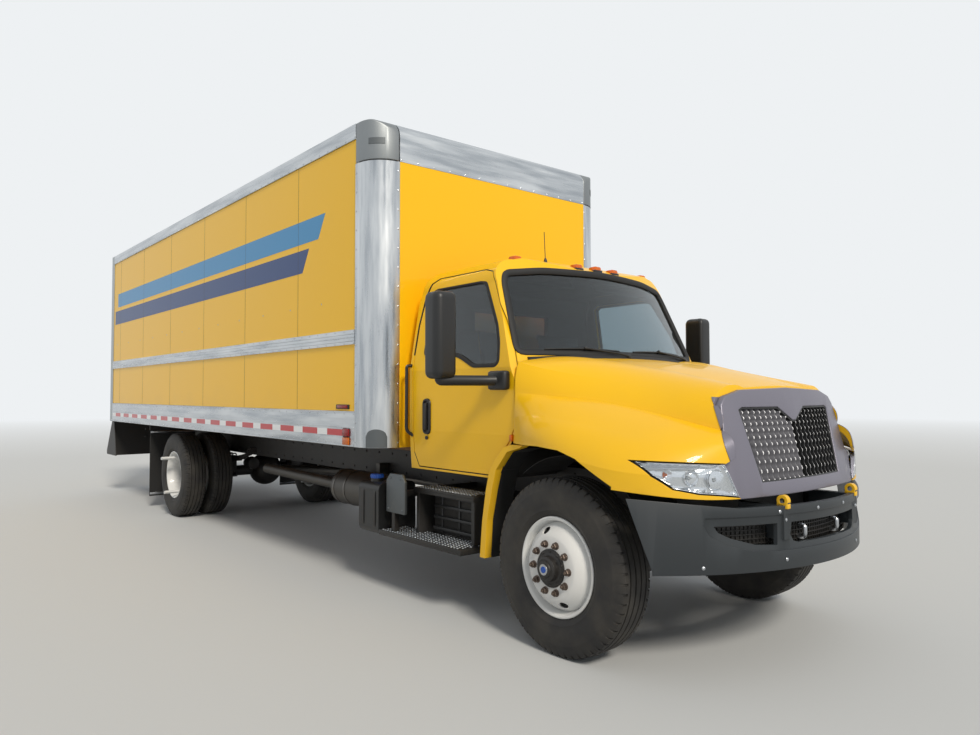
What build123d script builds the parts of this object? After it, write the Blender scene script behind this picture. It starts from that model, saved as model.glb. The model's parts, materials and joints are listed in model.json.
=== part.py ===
from build123d import *
import math
import os

os.makedirs("parts", exist_ok=True)

# Millimetres. X runs forward, Y to the truck's left, Z up, with Z = 0 at the floor.
# Shapes are drawn with X = 0 over the front axle, and each is moved by ORIGIN_SHIFT when it is
# written, so that X = 0 of the finished truck is midway between its two ends.

# Overall sizes
NOSE_X = 1130.0
TAIL_X = -10050.0
ORIGIN_SHIFT = -(NOSE_X + TAIL_X) / 2
WHEELBASE = 6760.0

# Cargo box
BOX_FRONT = -1762.0
BOX_LENGTH = 7925.0
BOX_REAR = BOX_FRONT - BOX_LENGTH
BOX_HALF = 1295.5
BOX_BOTTOM = 1135.0
BOX_TOP = 3715.0
WALL = 32.0
POST_RADIUS = 225.0
POST_SIDE = 277.0
POST_FRONT = 240.0
HEADER_RADIUS = 130.0
HEADER_DEPTH = 210.0
HEADER_BOTTOM = 3388.0
TOP_RAIL_BOTTOM = 3590.0
TOP_RAIL_WIDTH = 70.0
LOWER_RAIL_TOP = 1415.0
RUB_RAIL_BOTTOM = 1948.0
RUB_RAIL_TOP = 2064.0
PANEL_INSET = 9.0
FLOOR_TOP = 1275.0
FLOOR_THICK = 42.0
PORTAL_DEPTH = 130.0
PORTAL_POST = 95.0
PORTAL_HEADER = 180.0
DOOR_SLATS = 7
JOINT = 1.0

# Ladder frame
RAIL_HALF = 432.0
RAIL_TOP = 1035.0
RAIL_BOTTOM = 780.0
RAIL_FLANGE = 80.0
RAIL_WEB = 9.0
FRAME_FRONT = 800.0
FRAME_REAR = BOX_REAR + 62.0

# Wheels and tyres
TYRE_RADIUS = 527.0
TYRE_WIDTH = 279.0
RIM_RADIUS = 298.5
BEAD_RADIUS = 284.0
FRONT_WHEEL_Y = 985.0
FRONT_DISC_OUT = 155.0
REAR_OUTER_Y = 1098.0
REAR_INNER_Y = 762.0
KINGPIN_Y = 820.0
BOLT_CIRCLE = 285.75
STUD_COUNT = 10
DISC_THICK = 12.0
HAND_HOLE = (62.0, 38.0)
HAND_HOLE_CIRCLE = 219.0
HAND_HOLE_ANGLE = 108.8

# Cab
CAB_REAR = -1655.0
CAB_HALF = 1030.0
CAB_FLOOR = 985.0
CAB_DECK = 1090.0
CAB_ROOF = 2590.0
CAB_WALL = 45.0
SEAM_X = -432.0
DOOR_BOTTOM = 1008.0
PANEL_GAP = 8.0
DOOR_SWING_ROOM = 14.0
SCREEN_RADIUS = 2800.0
SCREEN_FOOT = (-300.0, 1806.0)
SCREEN_HEAD = (-622.0, 2470.0)

# Nose
HOOD_SKIN = 36.0
GRILLE_RADIUS = 3600.0
GRILLE_FOOT = (1010.0, 985.0)
GRILLE_HEAD = (870.0, 1575.0)
SURROUND_DEPTH = 38.0
GRILLE_PITCH = 50.0
GRILLE_BARS = 10

# Steps and bumpers
STEP_OUTER = 1150.0
BUMPER_RADIUS = 1612.0
BUMPER_END = 600.0
BUMPER_SKIN = 34.0
BUMPER_BOTTOM = 603.0
BUMPER_TOP = 945.0
BUMPER_END_TOP = 1003.0

# Where other things are fastened: places are (x, y, z), or (y, z) on the rear cross plate
TOW_EYE = (1056.0, 402.0, 968.0)
TOW_EYE_BORE = 14.0
TOW_EYE_THICK = 30.0
HITCH_PLACE = (0.0, 770.0)
HITCH_SPACING = (85.7, 44.5)
HITCH_HOLE = 6.8
PLATE_PLACE = (-700.0, 930.0)
PLATE_SPACING = (177.8, 120.65)
PLATE_HOLE = 3.6


def block(x0, x1, y0, y1, z0, z1):
    """A box between two corners."""
    return Pos((x0 + x1) / 2, (y0 + y1) / 2, (z0 + z1) / 2) * Box(abs(x1 - x0), abs(y1 - y0), abs(z1 - z0))


def outline(points, grow=0.0):
    """A flat face inside straight lines, optionally grown or shrunk all round."""
    face = make_face(Polyline(*points, close=True))
    return offset(face, amount=grow, kind=Kind.INTERSECTION) if grow else face


def side_prism(points, y0, y1, grow=0.0):
    """An outline of (x, z) points, extruded across the truck from y0 to y1."""
    face = Plane(origin=(0, y0, 0), x_dir=(1, 0, 0), z_dir=(0, -1, 0)) * outline(points, grow)
    return extrude(face, amount=y1 - y0, dir=(0, 1, 0))


def plan_prism(points, z0, z1, grow=0.0):
    """An outline of (x, y) points, extruded upwards from z0 to z1."""
    return extrude(Pos(0, 0, z0) * outline(points, grow), amount=z1 - z0, dir=(0, 0, 1))


def front_prism(points, x0, x1, grow=0.0):
    """An outline of (y, z) points, extruded forward from x0 to x1."""
    face = Plane(origin=(x0, 0, 0), x_dir=(0, 1, 0), z_dir=(1, 0, 0)) * outline(points, grow)
    return extrude(face, amount=x1 - x0, dir=(1, 0, 0))


def rod(start, end, radius):
    """A round bar between two points."""
    axis = Vector(*end) - Vector(*start)
    plane = Plane(origin=start, z_dir=axis.normalized())
    return extrude(plane * Circle(radius), amount=axis.length)


def cross_rod(x, z, radius, y0, y1):
    """A round bar across the truck."""
    return rod((x, y0, z), (x, y1, z), radius)


def left(shape):
    """The same piece on the truck's left side."""
    return mirror(shape, about=Plane.XZ)


def turned(profile, x, y_centre):
    """A closed outline of (y, radius) points turned about a wheel axis at x."""
    points = [(x, y_centre + y, TYRE_RADIUS + radius) for y, radius in profile]
    return revolve(make_face(Polyline(*points, close=True)), axis=Axis((x, 0, TYRE_RADIUS), (0, 1, 0)))


def leaning_cylinder(foot, head, radius, back=0.0):
    """A big cylinder whose foremost line runs from foot to head, both (x, z), moved back if asked."""
    along = Vector(head[0] - foot[0], 0, head[1] - foot[1]).normalized()
    plane = Plane(origin=(foot[0] - back, 0, foot[1]), x_dir=(0, 1, 0), z_dir=along)
    centre = plane * Pos(0, radius, -1500) if plane.y_dir.X < 0 else plane * Pos(0, -radius, -1500)
    return centre * Cylinder(radius, 4000, align=(Align.CENTER, Align.CENTER, Align.MIN))


def save(name, *shapes):
    """Write one piece, which may be several solids, at its place on the finished truck."""
    solids = [solid for shape in shapes for solid in shape.solids()]
    whole = solids[0] if len(solids) == 1 else Compound(children=solids)
    export_step(Pos(ORIGIN_SHIFT, 0, 0) * whole, f"parts/{name}.step")


# Ladder frame and axles

def frame_rails():
    inner = RAIL_HALF - RAIL_WEB
    rail = block(FRAME_REAR, FRAME_FRONT, RAIL_HALF - RAIL_FLANGE, RAIL_HALF, RAIL_BOTTOM, RAIL_TOP)
    rail -= block(
        FRAME_REAR - 1, FRAME_FRONT + 1, RAIL_HALF - RAIL_FLANGE - 1, inner,
        RAIL_BOTTOM + RAIL_WEB, RAIL_TOP - RAIL_WEB,
    )
    frame = rail + left(rail)
    for x in (642, -1300, -2300, -3900, -5300, -6150, -7400, -8500, FRAME_REAR + 60):
        frame += block(x - 38, x + 38, -inner, inner, RAIL_TOP - 160, RAIL_TOP - 40)
    return frame


def front_axle():
    """I-beam with its drop centre and a kingpin boss at each end."""
    beam = block(-42, 42, -560, 560, 385, 470)
    # y, z of the rising arm
    rise = [(540, 385), (540, 470), (700, 568), (800, 568), (800, 478), (712, 478), (600, 385)]
    arm = front_prism(rise, -36, 36)
    boss = rod((0, KINGPIN_Y, 478), (0, KINGPIN_Y, 568), 36)
    return beam + arm + left(arm) + boss + left(boss)


def leaf_spring(x_axle, length, y, z_axle, z_ends, leaves, hanger_y, hanger_top):
    """Leaves between two hangers, each a shallow arc shorter than the one above it."""
    thick = 14.0
    width = 80.0
    pack = None
    for number in range(leaves):
        half = length / 2 * (1 - number / (leaves + 1.5))
        rise = (z_ends - z_axle) * (half * 2 / length) ** 2
        top = z_axle - number * thick
        ends = [(x_axle + side * half, 0, top + rise) for side in (-1, 1)]
        upper = ThreePointArc(ends[0], (x_axle, 0, top), ends[1])
        lower = Pos(0, 0, -thick) * upper
        leaf = make_face([upper, lower, Line(upper @ 0, lower @ 0), Line(upper @ 1, lower @ 1)])
        leaf = extrude(leaf, amount=width, dir=(0, 1, 0))
        pack = leaf if pack is None else pack + leaf
    pack = Pos(0, y - width / 2, 0) * pack
    for end in (-1, 1):
        x = x_axle + end * (length / 2 - 30)
        pack += block(x - 30, x + 30, hanger_y, y + 40, z_ends - 25, hanger_top)
    return pack


def leaf_springs():
    """Front packs over the axle beam and rear packs over the axle tubes."""
    # x_axle, length, y, z_axle, z_ends, leaves, hanger_y, hanger_top
    packs = (
        (0, 1320, 392, 518, 700, 3, 352, RAIL_BOTTOM - 1),
        (-WHEELBASE, 1460, 478, 735, 830, 5, RAIL_HALF + 1, 875),
    )
    solids = []
    for row in packs:
        spring = leaf_spring(*row)
        solids += [spring, left(spring)]
    return solids


def rear_axle():
    """Banjo housing and tubes, with a spring seat on each side."""
    housing = cross_rod(-WHEELBASE, TYRE_RADIUS, 68, -772, 772)
    housing += Pos(-WHEELBASE, 0, TYRE_RADIUS) * Sphere(215)
    housing += rod((-WHEELBASE + 150, 0, TYRE_RADIUS), (-WHEELBASE + 330, 0, TYRE_RADIUS + 25), 70)
    for y in (-478, 478):
        housing += block(-WHEELBASE - 70, -WHEELBASE + 70, y - 42, y + 42, TYRE_RADIUS, 664)
    return housing


def driveshaft():
    start = (-1112, 0, 690)
    middle = (-3900, 0, 700)
    end = (-WHEELBASE + 334, 0, TYRE_RADIUS + 26)
    return rod(start, middle, 50) + Pos(*middle) * Sphere(62) + rod(middle, end, 50)


def engine_block():
    """Engine and gearbox as one plain block, lower and narrower behind the fire wall."""
    engine = [(600, 640), (600, 1290), (-370, 1390), (-370, 640)]
    gearbox = [(-380, 560), (-380, 900), (-1110, 830), (-1110, 560)]
    flywheel = block(-380, -370, -200, 200, 640, 880)
    return side_prism(engine, -270, 270) + side_prism(gearbox, -200, 200) + flywheel


def radiator():
    return block(690, 780, -345, 345, 700, 1360) + block(685, 785, -320, 320, 1360, 1420)


# Wheels

def tyre(x, y_centre):
    """A plain tyre of the real outside size, with a flat tread band."""
    half = TYRE_WIDTH / 2
    # y, radius up one side of the section
    side = [(half - 42, BEAD_RADIUS + 3), (half, 405), (half - 34, TYRE_RADIUS)]
    return turned([(-y, r) for y, r in side] + side[::-1], x, y_centre)


def rim(x, y_centre, face_y, out, reach):
    """Steel disc wheel: a band under the tyre and a dish bolted at face_y that opens towards out."""
    half = TYRE_WIDTH / 2 - 24
    # y, radius of half the band's section, from the well's outside round the flange to its inside
    section = [(half - 58, 266), (half - 34, 284), (half - 12, 284), (half - 12, RIM_RADIUS)]
    section += [(half - 2, RIM_RADIUS), (half - 2, 274), (half - 36, 272), (half - 60, 256)]
    band = section + [(-y, r) for y, r in reversed(section)]
    back = -out * DISC_THICK
    reach *= -out
    # y, radius of the dish from the hub's hole to the band
    dish = [(0, 110.5), (0, 182), (reach * 0.5, 214), (reach, 262), (reach + back, 262)]
    dish += [(reach * 0.5 + back, 210), (back, 176), (back, 110.5)]
    return turned(band, x, y_centre) + turned(dish, x, face_y)


def hub(x, face_y, steps):
    """A stepped hub of (y, radius) points, turned about the axle."""
    first, last = steps[0][0], steps[-1][0]
    return turned([(first, 0)] + steps + [(last, 0)], x, face_y)


def on_circle(x, radius, count, start=0.0):
    """Points (x, z) spaced evenly round a wheel's axis."""
    angles = [math.radians(start + 360 * number / count) for number in range(count)]
    return [(x + radius * math.cos(angle), TYRE_RADIUS + radius * math.sin(angle)) for angle in angles]


def hand_holes(x, y0, y1):
    """Two opposite oval holes through a wheel's disc, long side along the circle."""
    holes = []
    for hx, hz in on_circle(x, HAND_HOLE_CIRCLE, 2, HAND_HOLE_ANGLE):
        along = Vector(TYRE_RADIUS - hz, 0, hx - x)
        plane = Plane(origin=(hx, y0, hz), x_dir=along, z_dir=(0, 1, 0))
        holes.append(extrude(plane * SlotOverall(*HAND_HOLE), amount=y1 - y0))
    return holes[0] + holes[1]


def front_rim():
    """Right front wheel, its disc near the outer side, with nuts, hub and oil cap."""
    face = -(FRONT_WHEEL_Y + FRONT_DISC_OUT)
    wheel = rim(0, -FRONT_WHEEL_Y, face, -1, 92) - hand_holes(0, face - 20, face + 110)
    steps = [(-62, 48), (-50, 66), (-6, 74), (-6, 112), (FRONT_DISC_OUT, 112)]
    wheel += hub(0, face, steps)
    for nx, nz in on_circle(0, BOLT_CIRCLE / 2, STUD_COUNT):
        wheel += cross_rod(nx, nz, 17, face - 40, face + 5)
    return wheel


def rear_rims():
    """Right rear dual pair, discs back to back, with drum and hub."""
    face = -(REAR_OUTER_Y + REAR_INNER_Y) / 2
    outer = rim(-WHEELBASE, -REAR_OUTER_Y, face - DISC_THICK, 1, 106)
    inner = rim(-WHEELBASE, -REAR_INNER_Y, face + DISC_THICK, -1, 106)
    wheel = outer + inner + hub(-WHEELBASE, face, [
        (-135, 78), (-120, 96), (-20, 100), (-20, 112), (14, 112), (14, 195), (150, 195),
    ])
    wheel -= hand_holes(-WHEELBASE, face - 110, face + 110)
    for nx, nz in on_circle(-WHEELBASE, BOLT_CIRCLE / 2, STUD_COUNT):
        wheel += cross_rod(nx, nz, 17, face - 50, face)
    return wheel


def knuckle():
    """Right steering knuckle: kingpin yoke round the beam's boss, spindle, brake drum and arm."""
    y = -KINGPIN_Y
    yoke = block(-50, 50, y - 80, y + 40, 578, 616) + block(-50, 50, y - 80, y + 40, 432, 470)
    yoke += block(-50, 50, y - 80, y - 42, 432, 616)
    drum = turned([(0, 60), (0, 190), (-85, 190), (-85, 60)], 0, y - 70)
    spindle = cross_rod(0, TYRE_RADIUS, 60, y - 158, y - 60)
    arm = block(-230, -40, y + 6, y + 40, 436, 466)
    return yoke + drum + spindle + arm


# Cab

def cab_tunnel(inset=0.0):
    """The cab's section seen from the front, or the room inside its sides, run along the whole cab."""
    half = CAB_HALF - inset
    roof = CAB_ROOF - inset
    # y, z up the left side
    flank = [(half - 20, CAB_FLOOR - 5), (half, 1280), (half, 1730), (half - 45, 2000), (half - 102, 2330)]
    eave = (half - 275, roof - 85)
    section = make_face([
        Polyline(*flank),
        ThreePointArc(flank[-1], (half - 135, 2440 - inset), eave),
        ThreePointArc(eave, (0, roof + 3), (-eave[0], eave[1])),
        ThreePointArc((-eave[0], eave[1]), (135 - half, 2440 - inset), (-flank[-1][0], flank[-1][1])),
        Polyline(*[(-y, z) for y, z in reversed(flank)]),
        Line((20 - half, CAB_FLOOR - 5), (half - 20, CAB_FLOOR - 5)),
    ])
    ahead = Plane(origin=(CAB_REAR - 10, 0, 0), x_dir=(0, 1, 0), z_dir=(1, 0, 0))
    return extrude(ahead * section, amount=2000, dir=(1, 0, 0))


def cab_form(inset=0.0):
    """The cab's outer form, or with an inset the room inside its panels."""
    back = CAB_REAR + inset
    floor = CAB_DECK if inset else CAB_FLOOR
    head = (SCREEN_HEAD[0] + 20, SCREEN_HEAD[1] - 16 - inset * 0.6)
    roof = CAB_ROOF - inset
    front = SEAM_X - 4 - inset
    cowl = 1790 - inset
    brow = (-840, roof - 45)
    profile = make_face([
        Polyline((back + 230, roof - 35), (back + 60, roof - 150), (back, 2250), (back, floor)),
        Polyline((back, floor), (front - 190, floor), (front, 1300), (front, cowl - 20), (60, cowl)),
        Polyline((60, cowl), (60, 1810), head),
        ThreePointArc(head, (head[0] - 100, roof - 85), brow),
        ThreePointArc(brow, (-1130, roof), (back + 230, roof - 35)),
    ])
    lay = Plane(origin=(0, -1300, 0), x_dir=(1, 0, 0), z_dir=(0, -1, 0))
    body = extrude(lay * profile, amount=2600, dir=(0, 1, 0)) & cab_tunnel(inset)
    return body & leaning_cylinder(SCREEN_FOOT, SCREEN_HEAD, SCREEN_RADIUS, back=inset)


# x, z outlines on the cab's side
DOOR = [
    (SEAM_X - PANEL_GAP, 1770), (SEAM_X - PANEL_GAP, 1340), (-505, 1235), (-604, 1140), (-702, DOOR_BOTTOM),
    (-1545, DOOR_BOTTOM), (-1600, 1110), (-1612, 1700), (-1600, 2080), (-1560, 2300), (-1500, 2395),
    (-1420, 2428), (-880, 2428), (-795, 2405), (-618, 2064), (-498, 1818),
]
DOOR_WINDOW = [
    (-1478, 1850), (-1478, 2320), (-1430, 2352), (-905, 2352), (-850, 2335), (-668, 2020), (-628, 1900),
    (-612, 1770), (-640, 1745), (-876, 1747), (-1020, 1812), (-1110, 1838),
]
# x, z of the cab's flank behind the front wheel, down beside the steps, and of the wheel well's
# liner along its front edge
BAND = [
    (-430, 1226), (-511, 1207), (-551, 1172), (-610, 1110), (-659, 1046), (-696, 910), (-735, 700),
    (-760, 455), (-707, 455), (-686, 712), (-634, 916), (-592, 1052), (-482, 1176), (-356, 1209), (-330, 1226),
]
LINER = [
    (-707, 455), (-686, 712), (-634, 916), (-623.5, 950), (-640, 950), (-652, 916), (-704, 712), (-724, 455),
]
# y, z outlines seen from the front, the windscreen's left half only
SCREEN = [(958, 1826), (884, 2330), (852, 2404), (560, 2440), (0, 2455)]
REAR_WINDOW = [(-420, 1880), (-420, 2230), (420, 2230), (420, 1880)]


def mirrored(points):
    """A left half outline completed on the right."""
    return points + [(-y, z) for y, z in reversed(points) if y]


def cab_pieces():
    """The cab shell with its openings, the right door and the panes in them."""
    outer = cab_form()
    glass = cab_form(14) - cab_form(20)
    opening = side_prism(DOOR, -1200, -700, grow=PANEL_GAP)
    upper_rear = block(-1700, -1300, -1200, -700, 1850, 2500)
    opening += (Pos(-DOOR_SWING_ROOM, 0, 0) * opening) & upper_rear
    opening -= cab_tunnel(CAB_WALL + PANEL_GAP)
    hole = side_prism(DOOR_WINDOW, -1200, -600)
    screen_hole = front_prism(mirrored(SCREEN), -1150, 200)
    rear_hole = front_prism(REAR_WINDOW, CAB_REAR - 20, CAB_REAR + 100)
    band = side_prism(BAND, 1000, 1062) + side_prism(LINER, 900, 1050)
    shell = outer - cab_form(CAB_WALL) + band + left(band)
    shell = shell - opening - left(opening) - screen_hole - rear_hole
    shell -= block(CAB_REAR - 1, 0, -RAIL_HALF - 30, RAIL_HALF + 30, CAB_FLOOR - 1, RAIL_TOP + 12)
    door = (outer & side_prism(DOOR, -1200, -700)) - cab_tunnel(CAB_WALL) - hole
    pane = glass & side_prism(DOOR_WINDOW, -1200, -600, grow=-0.3)
    screen = glass & front_prism(mirrored(SCREEN), -1150, 200, grow=-0.3)
    rear_pane = glass & front_prism(REAR_WINDOW, CAB_REAR - 20, CAB_REAR + 100, grow=-0.3)
    return shell, door, pane, [screen, rear_pane]


def mirror_head():
    """Right mirror: a tall housing on a bar from a foot at the door's front corner."""
    head = [(-760, -1340), (-760, -1470), (-735, -1505), (-665, -1505), (-640, -1470), (-640, -1350)]
    bar = [(-650, -1060), (-560, -1060), (-655, -1400), (-735, -1400)]
    foot = block(-650, -475, -1088, -1031, 1578, 1705)
    return plan_prism(head, 1650, 2215) + plan_prism(bar, 1604, 1654) + foot


def dashboard():
    """A deep shelf under the windscreen with a wall down to the floor."""
    return side_prism([
        (-500, 1700), (-500, 1745), (-640, 1760), (-900, 1700), (-930, 1560), (-860, 1420), (-700, 1250),
        (-600, 1250),
    ], -930, 930)


def steering_wheel():
    """Wheel and column on the left, the wheel's plane tipped towards the driver."""
    plane = Plane(origin=(-1010, 480, 1640), x_dir=(0, 1, 0), z_dir=(-0.62, 0, 0.78))
    ring = plane * Torus(215, 16)
    spoke = plane * (Box(430, 34, 14) + Box(34, 430, 14) + Cylinder(62, 30))
    column = rod((-1010, 480, 1640), (-905, 480, 1508), 34)
    return ring + spoke + column - dashboard()


def seats():
    """Driver's seat on the left and a two-place bench on the right, each cushion, back and base."""
    solids = []
    # y0, y1 of each seat
    for y0, y1 in ((215, 745), (-860, -10)):
        cushion = side_prism([
            (-985, 1420), (-985, 1500), (-1380, 1470), (-1440, 1380), (-1400, 1330),
        ], y0, y1)
        rest = side_prism([
            (-1360, 1462), (-1425, 1372), (-1560, 1440), (-1595, 2080), (-1520, 2110), (-1450, 1900),
        ], y0, y1)
        base = block(-1400, -1010, y0 + 60, y1 - 60, CAB_DECK + 1, 1345)
        solids.append(cushion + rest + base)
    return solids


# Cargo box

def box_form(inset=0.0):
    """The box's outside, rounded at its front corners and front top edge, or the room inside."""
    front = BOX_FRONT - inset
    half = BOX_HALF - inset
    plan = Pos((BOX_REAR + front) / 2, 0) * Rectangle(front - BOX_REAR, half * 2)
    plan = fillet(plan.vertices().group_by(Axis.X)[-1], POST_RADIUS - inset)
    upright = extrude(Pos(0, 0, BOX_BOTTOM) * plan, amount=BOX_TOP - BOX_BOTTOM, dir=(0, 0, 1))
    height = BOX_TOP - inset - BOX_BOTTOM
    side = Pos((BOX_REAR + front) / 2, BOX_BOTTOM + height / 2) * Rectangle(front - BOX_REAR, height)
    corner = side.vertices().group_by(Axis.X)[-1].sort_by(Axis.Y)[-1]
    side = fillet(corner, HEADER_RADIUS - inset)
    lay = Plane(origin=(0, -BOX_HALF, 0), x_dir=(1, 0, 0), z_dir=(0, -1, 0))
    return upright & extrude(lay * side, amount=BOX_HALF * 2, dir=(0, 1, 0))


def cargo_box():
    """Panels, posts and rails, all cut from one wall so that they meet."""
    wall = box_form() - box_form(WALL)
    post_x = BOX_FRONT - POST_SIDE
    post_y = BOX_HALF - POST_FRONT
    rear_x = BOX_REAR + PORTAL_DEPTH
    head_x = BOX_FRONT - HEADER_DEPTH
    rail_y = BOX_HALF - TOP_RAIL_WIDTH
    corner = block(post_x, BOX_FRONT, -BOX_HALF, -post_y, BOX_BOTTOM, HEADER_BOTTOM - JOINT)
    cap = block(post_x, BOX_FRONT, -BOX_HALF, -post_y, HEADER_BOTTOM, BOX_TOP)
    post = wall & corner
    cap_piece = wall & cap
    half = post_y - JOINT
    front = block(BOX_FRONT - WALL, BOX_FRONT, -half, half, BOX_BOTTOM, HEADER_BOTTOM - JOINT)
    header = wall & block(head_x, BOX_FRONT, -half, half, HEADER_BOTTOM, BOX_TOP)
    roof = block(rear_x + JOINT, post_x - JOINT, -rail_y + JOINT, rail_y - JOINT, BOX_TOP - WALL, BOX_TOP - 4)
    roof += block(post_x - 2, head_x - JOINT, -post_y + JOINT, post_y - JOINT, BOX_TOP - WALL, BOX_TOP - 4)
    tail, nose = rear_x + JOINT, post_x - JOINT
    top_rail = wall & block(tail, nose, -BOX_HALF, -rail_y, TOP_RAIL_BOTTOM, BOX_TOP)
    lower_rail = block(tail, nose, -BOX_HALF, -BOX_HALF + WALL, BOX_BOTTOM, LOWER_RAIL_TOP)
    panel_y = BOX_HALF - PANEL_INSET
    panel = block(tail, nose, -panel_y, -BOX_HALF + WALL, LOWER_RAIL_TOP + JOINT, TOP_RAIL_BOTTOM - JOINT)
    rub = block(tail, nose, -BOX_HALF - 4, -panel_y - 0.2, RUB_RAIL_BOTTOM, RUB_RAIL_TOP)
    save("corner_posts", post, left(post))
    save("corner_caps", cap_piece, left(cap_piece))
    save("front_wall", front)
    save("roof_panel", roof)
    save("side_walls", panel, left(panel))
    save("body_rails", header, top_rail, left(top_rail), lower_rail, left(lower_rail), rub, left(rub))


def rear_portal():
    """The steel frame round the rear doorway."""
    frame = block(BOX_REAR, BOX_REAR + PORTAL_DEPTH, -BOX_HALF, BOX_HALF, BOX_BOTTOM, BOX_TOP)
    doorway = BOX_HALF - PORTAL_POST
    return frame - block(BOX_REAR - 1, BOX_REAR + 200, -doorway, doorway, FLOOR_TOP, BOX_TOP - PORTAL_HEADER)


def roll_door():
    """Slatted roll-up door, shut, its slats parted by shallow grooves on the outside."""
    half = BOX_HALF - PORTAL_POST - 1
    top = BOX_TOP - PORTAL_HEADER - 1
    low = FLOOR_TOP + 1
    door = block(BOX_REAR + 40, BOX_REAR + 66, -half, half, low, top)
    pitch = (top - low) / DOOR_SLATS
    for number in range(1, DOOR_SLATS):
        z = low + number * pitch
        door -= block(BOX_REAR + 39, BOX_REAR + 46, -half - 1, half + 1, z - 5, z + 5)
    return door


def cargo_floor():
    """Planked floor on cross sills, which lie on two long sills over the frame rails."""
    half = BOX_HALF - WALL - 1
    x0 = BOX_REAR + PORTAL_DEPTH + 1
    x1 = BOX_FRONT - WALL - 1
    corner = POST_RADIUS - WALL
    plan = [(x0, -half), (x1 - corner, -half), (x1 - 1, -half + corner)]
    floor = plan_prism(plan + [(x, -y) for x, y in reversed(plan)], FLOOR_TOP - FLOOR_THICK, FLOOR_TOP)
    count = 19
    for number in range(count):
        x = x0 + 60 + (x1 - x0 - 340) * number / (count - 1)
        floor += block(x - 28, x + 28, -half + 4, half - 4, BOX_BOTTOM + 4, FLOOR_TOP - FLOOR_THICK + 1)
    for y in (-RAIL_HALF + 40, RAIL_HALF - 40):
        floor += block(x0, x1 - 60, y - 40, y + 40, RAIL_TOP + 1, BOX_BOTTOM + 40)
    return floor


def four_holes(place, spacing, radius, x0, x1):
    """Four bolt holes along X, on a rectangle round a (y, z) place."""
    holes = [
        Pos((x0 + x1) / 2, place[0] + side * spacing[0] / 2, place[1] + up * spacing[1] / 2)
        * Rot(0, 90, 0) * Cylinder(radius, x1 - x0)
        for side in (-1, 1) for up in (-1, 1)
    ]
    return holes[0] + holes[1:]


def rear_bumper():
    """Step bumper: two flared side plates, a cross plate between them and a step at their foot."""
    side = [(BOX_REAR + 60, 1134), (BOX_REAR - 60, 1134), (TAIL_X, 660), (TAIL_X, 596), (BOX_REAR + 190, 596)]
    plate = side_prism(side, -1250, -1236)
    wall = block(BOX_REAR + 40, BOX_REAR + 56, -1237, 1237, 596, 1134)
    wall -= four_holes(HITCH_PLACE, HITCH_SPACING, HITCH_HOLE, BOX_REAR, BOX_REAR + 90)
    wall -= four_holes(PLATE_PLACE, PLATE_SPACING, PLATE_HOLE, BOX_REAR, BOX_REAR + 90)
    step = block(TAIL_X + 4, TAIL_X + 254, -1237, 1237, 600, 652)
    brace = block(TAIL_X + 200, BOX_REAR + 41, -40, 40, 600, 640)
    bumper = plate + left(plate) + wall + step
    for y in (-800, 0, 800):
        bumper += Pos(0, y, 0) * brace
    return bumper


def mudflaps():
    """Rubber flap behind each rear wheel, hung from an angle under the floor."""
    flap = block(-7712, -7700, -1245, -640, 160, 1062) + block(-7740, -7700, -1245, -640, 1062, 1134)
    return [flap, left(flap)]


# Steps, tanks and pipes

def cab_steps():
    """Right boarding steps: two treads on hangers, with the battery cover behind them."""
    upper = block(-1630, -895, -1010, -760, 800, 838)
    lower = block(-1905, -860, -STEP_OUTER, -880, 455, 492)
    cover = block(-1500, -880, -900, -RAIL_HALF - 6, 500, 800)
    hanger_points = [(0, 455), (0, 492), (0, 838), (34, 838), (34, 455)]
    steps = upper + lower + cover
    for x in (-1600, -930):
        steps += side_prism([(x + dx, z) for dx, z in hanger_points], -1000, -RAIL_HALF - 6)
    bracket = side_prism([
        (-1850, 640), (-1850, 880), (-1800, 935), (-1640, 935), (-1600, 880), (-1600, 640),
    ], -1110, -1090)
    arm = block(-1780, -1700, -1092, -RAIL_HALF - 6, 760, 800)
    hang = block(-1780, -1740, -1110, -1070, 491, 641)
    return steps + bracket + arm + hang


def fluid_tank():
    """Square tank with a filler neck, on the right behind the steps."""
    tank = block(-2215, -1912, -1150, -800, 445, 850)
    tank = fillet(tank.edges().filter_by(Axis.X), 55)
    neck = rod((-2080, -1060, 840), (-2080, -1060, 902), 48)
    return tank + neck + block(-2100, -2030, -810, -RAIL_HALF - 6, 700, 760)


def fuel_tank():
    """Round tank along the left frame rail on two hangers."""
    tank = rod((-3250, 790, 690), (-2000, 790, 690), 290)
    tank = fillet(tank.edges(), 24)
    tank += rod((-2260, 960, 900), (-2260, 1015, 955), 45)
    for x in (-2350, -2950):
        tank += block(x - 35, x + 35, RAIL_HALF + 6, 560, 560, 960)
    return tank


def exhaust():
    """Canister and pipe along the right frame rail, ending ahead of the rear axle."""
    canister = rod((-3350, -640, 660), (-2480, -640, 660), 165)
    inlet = rod((-2481, -640, 660), (-2290, -640, 660), 55)
    tail = rod((-3349, -640, 660), (-5200, -640, 690), 55)
    return canister + inlet + tail + block(-2950, -2890, -540, -RAIL_HALF - 6, 700, 900)


# Nose

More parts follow.
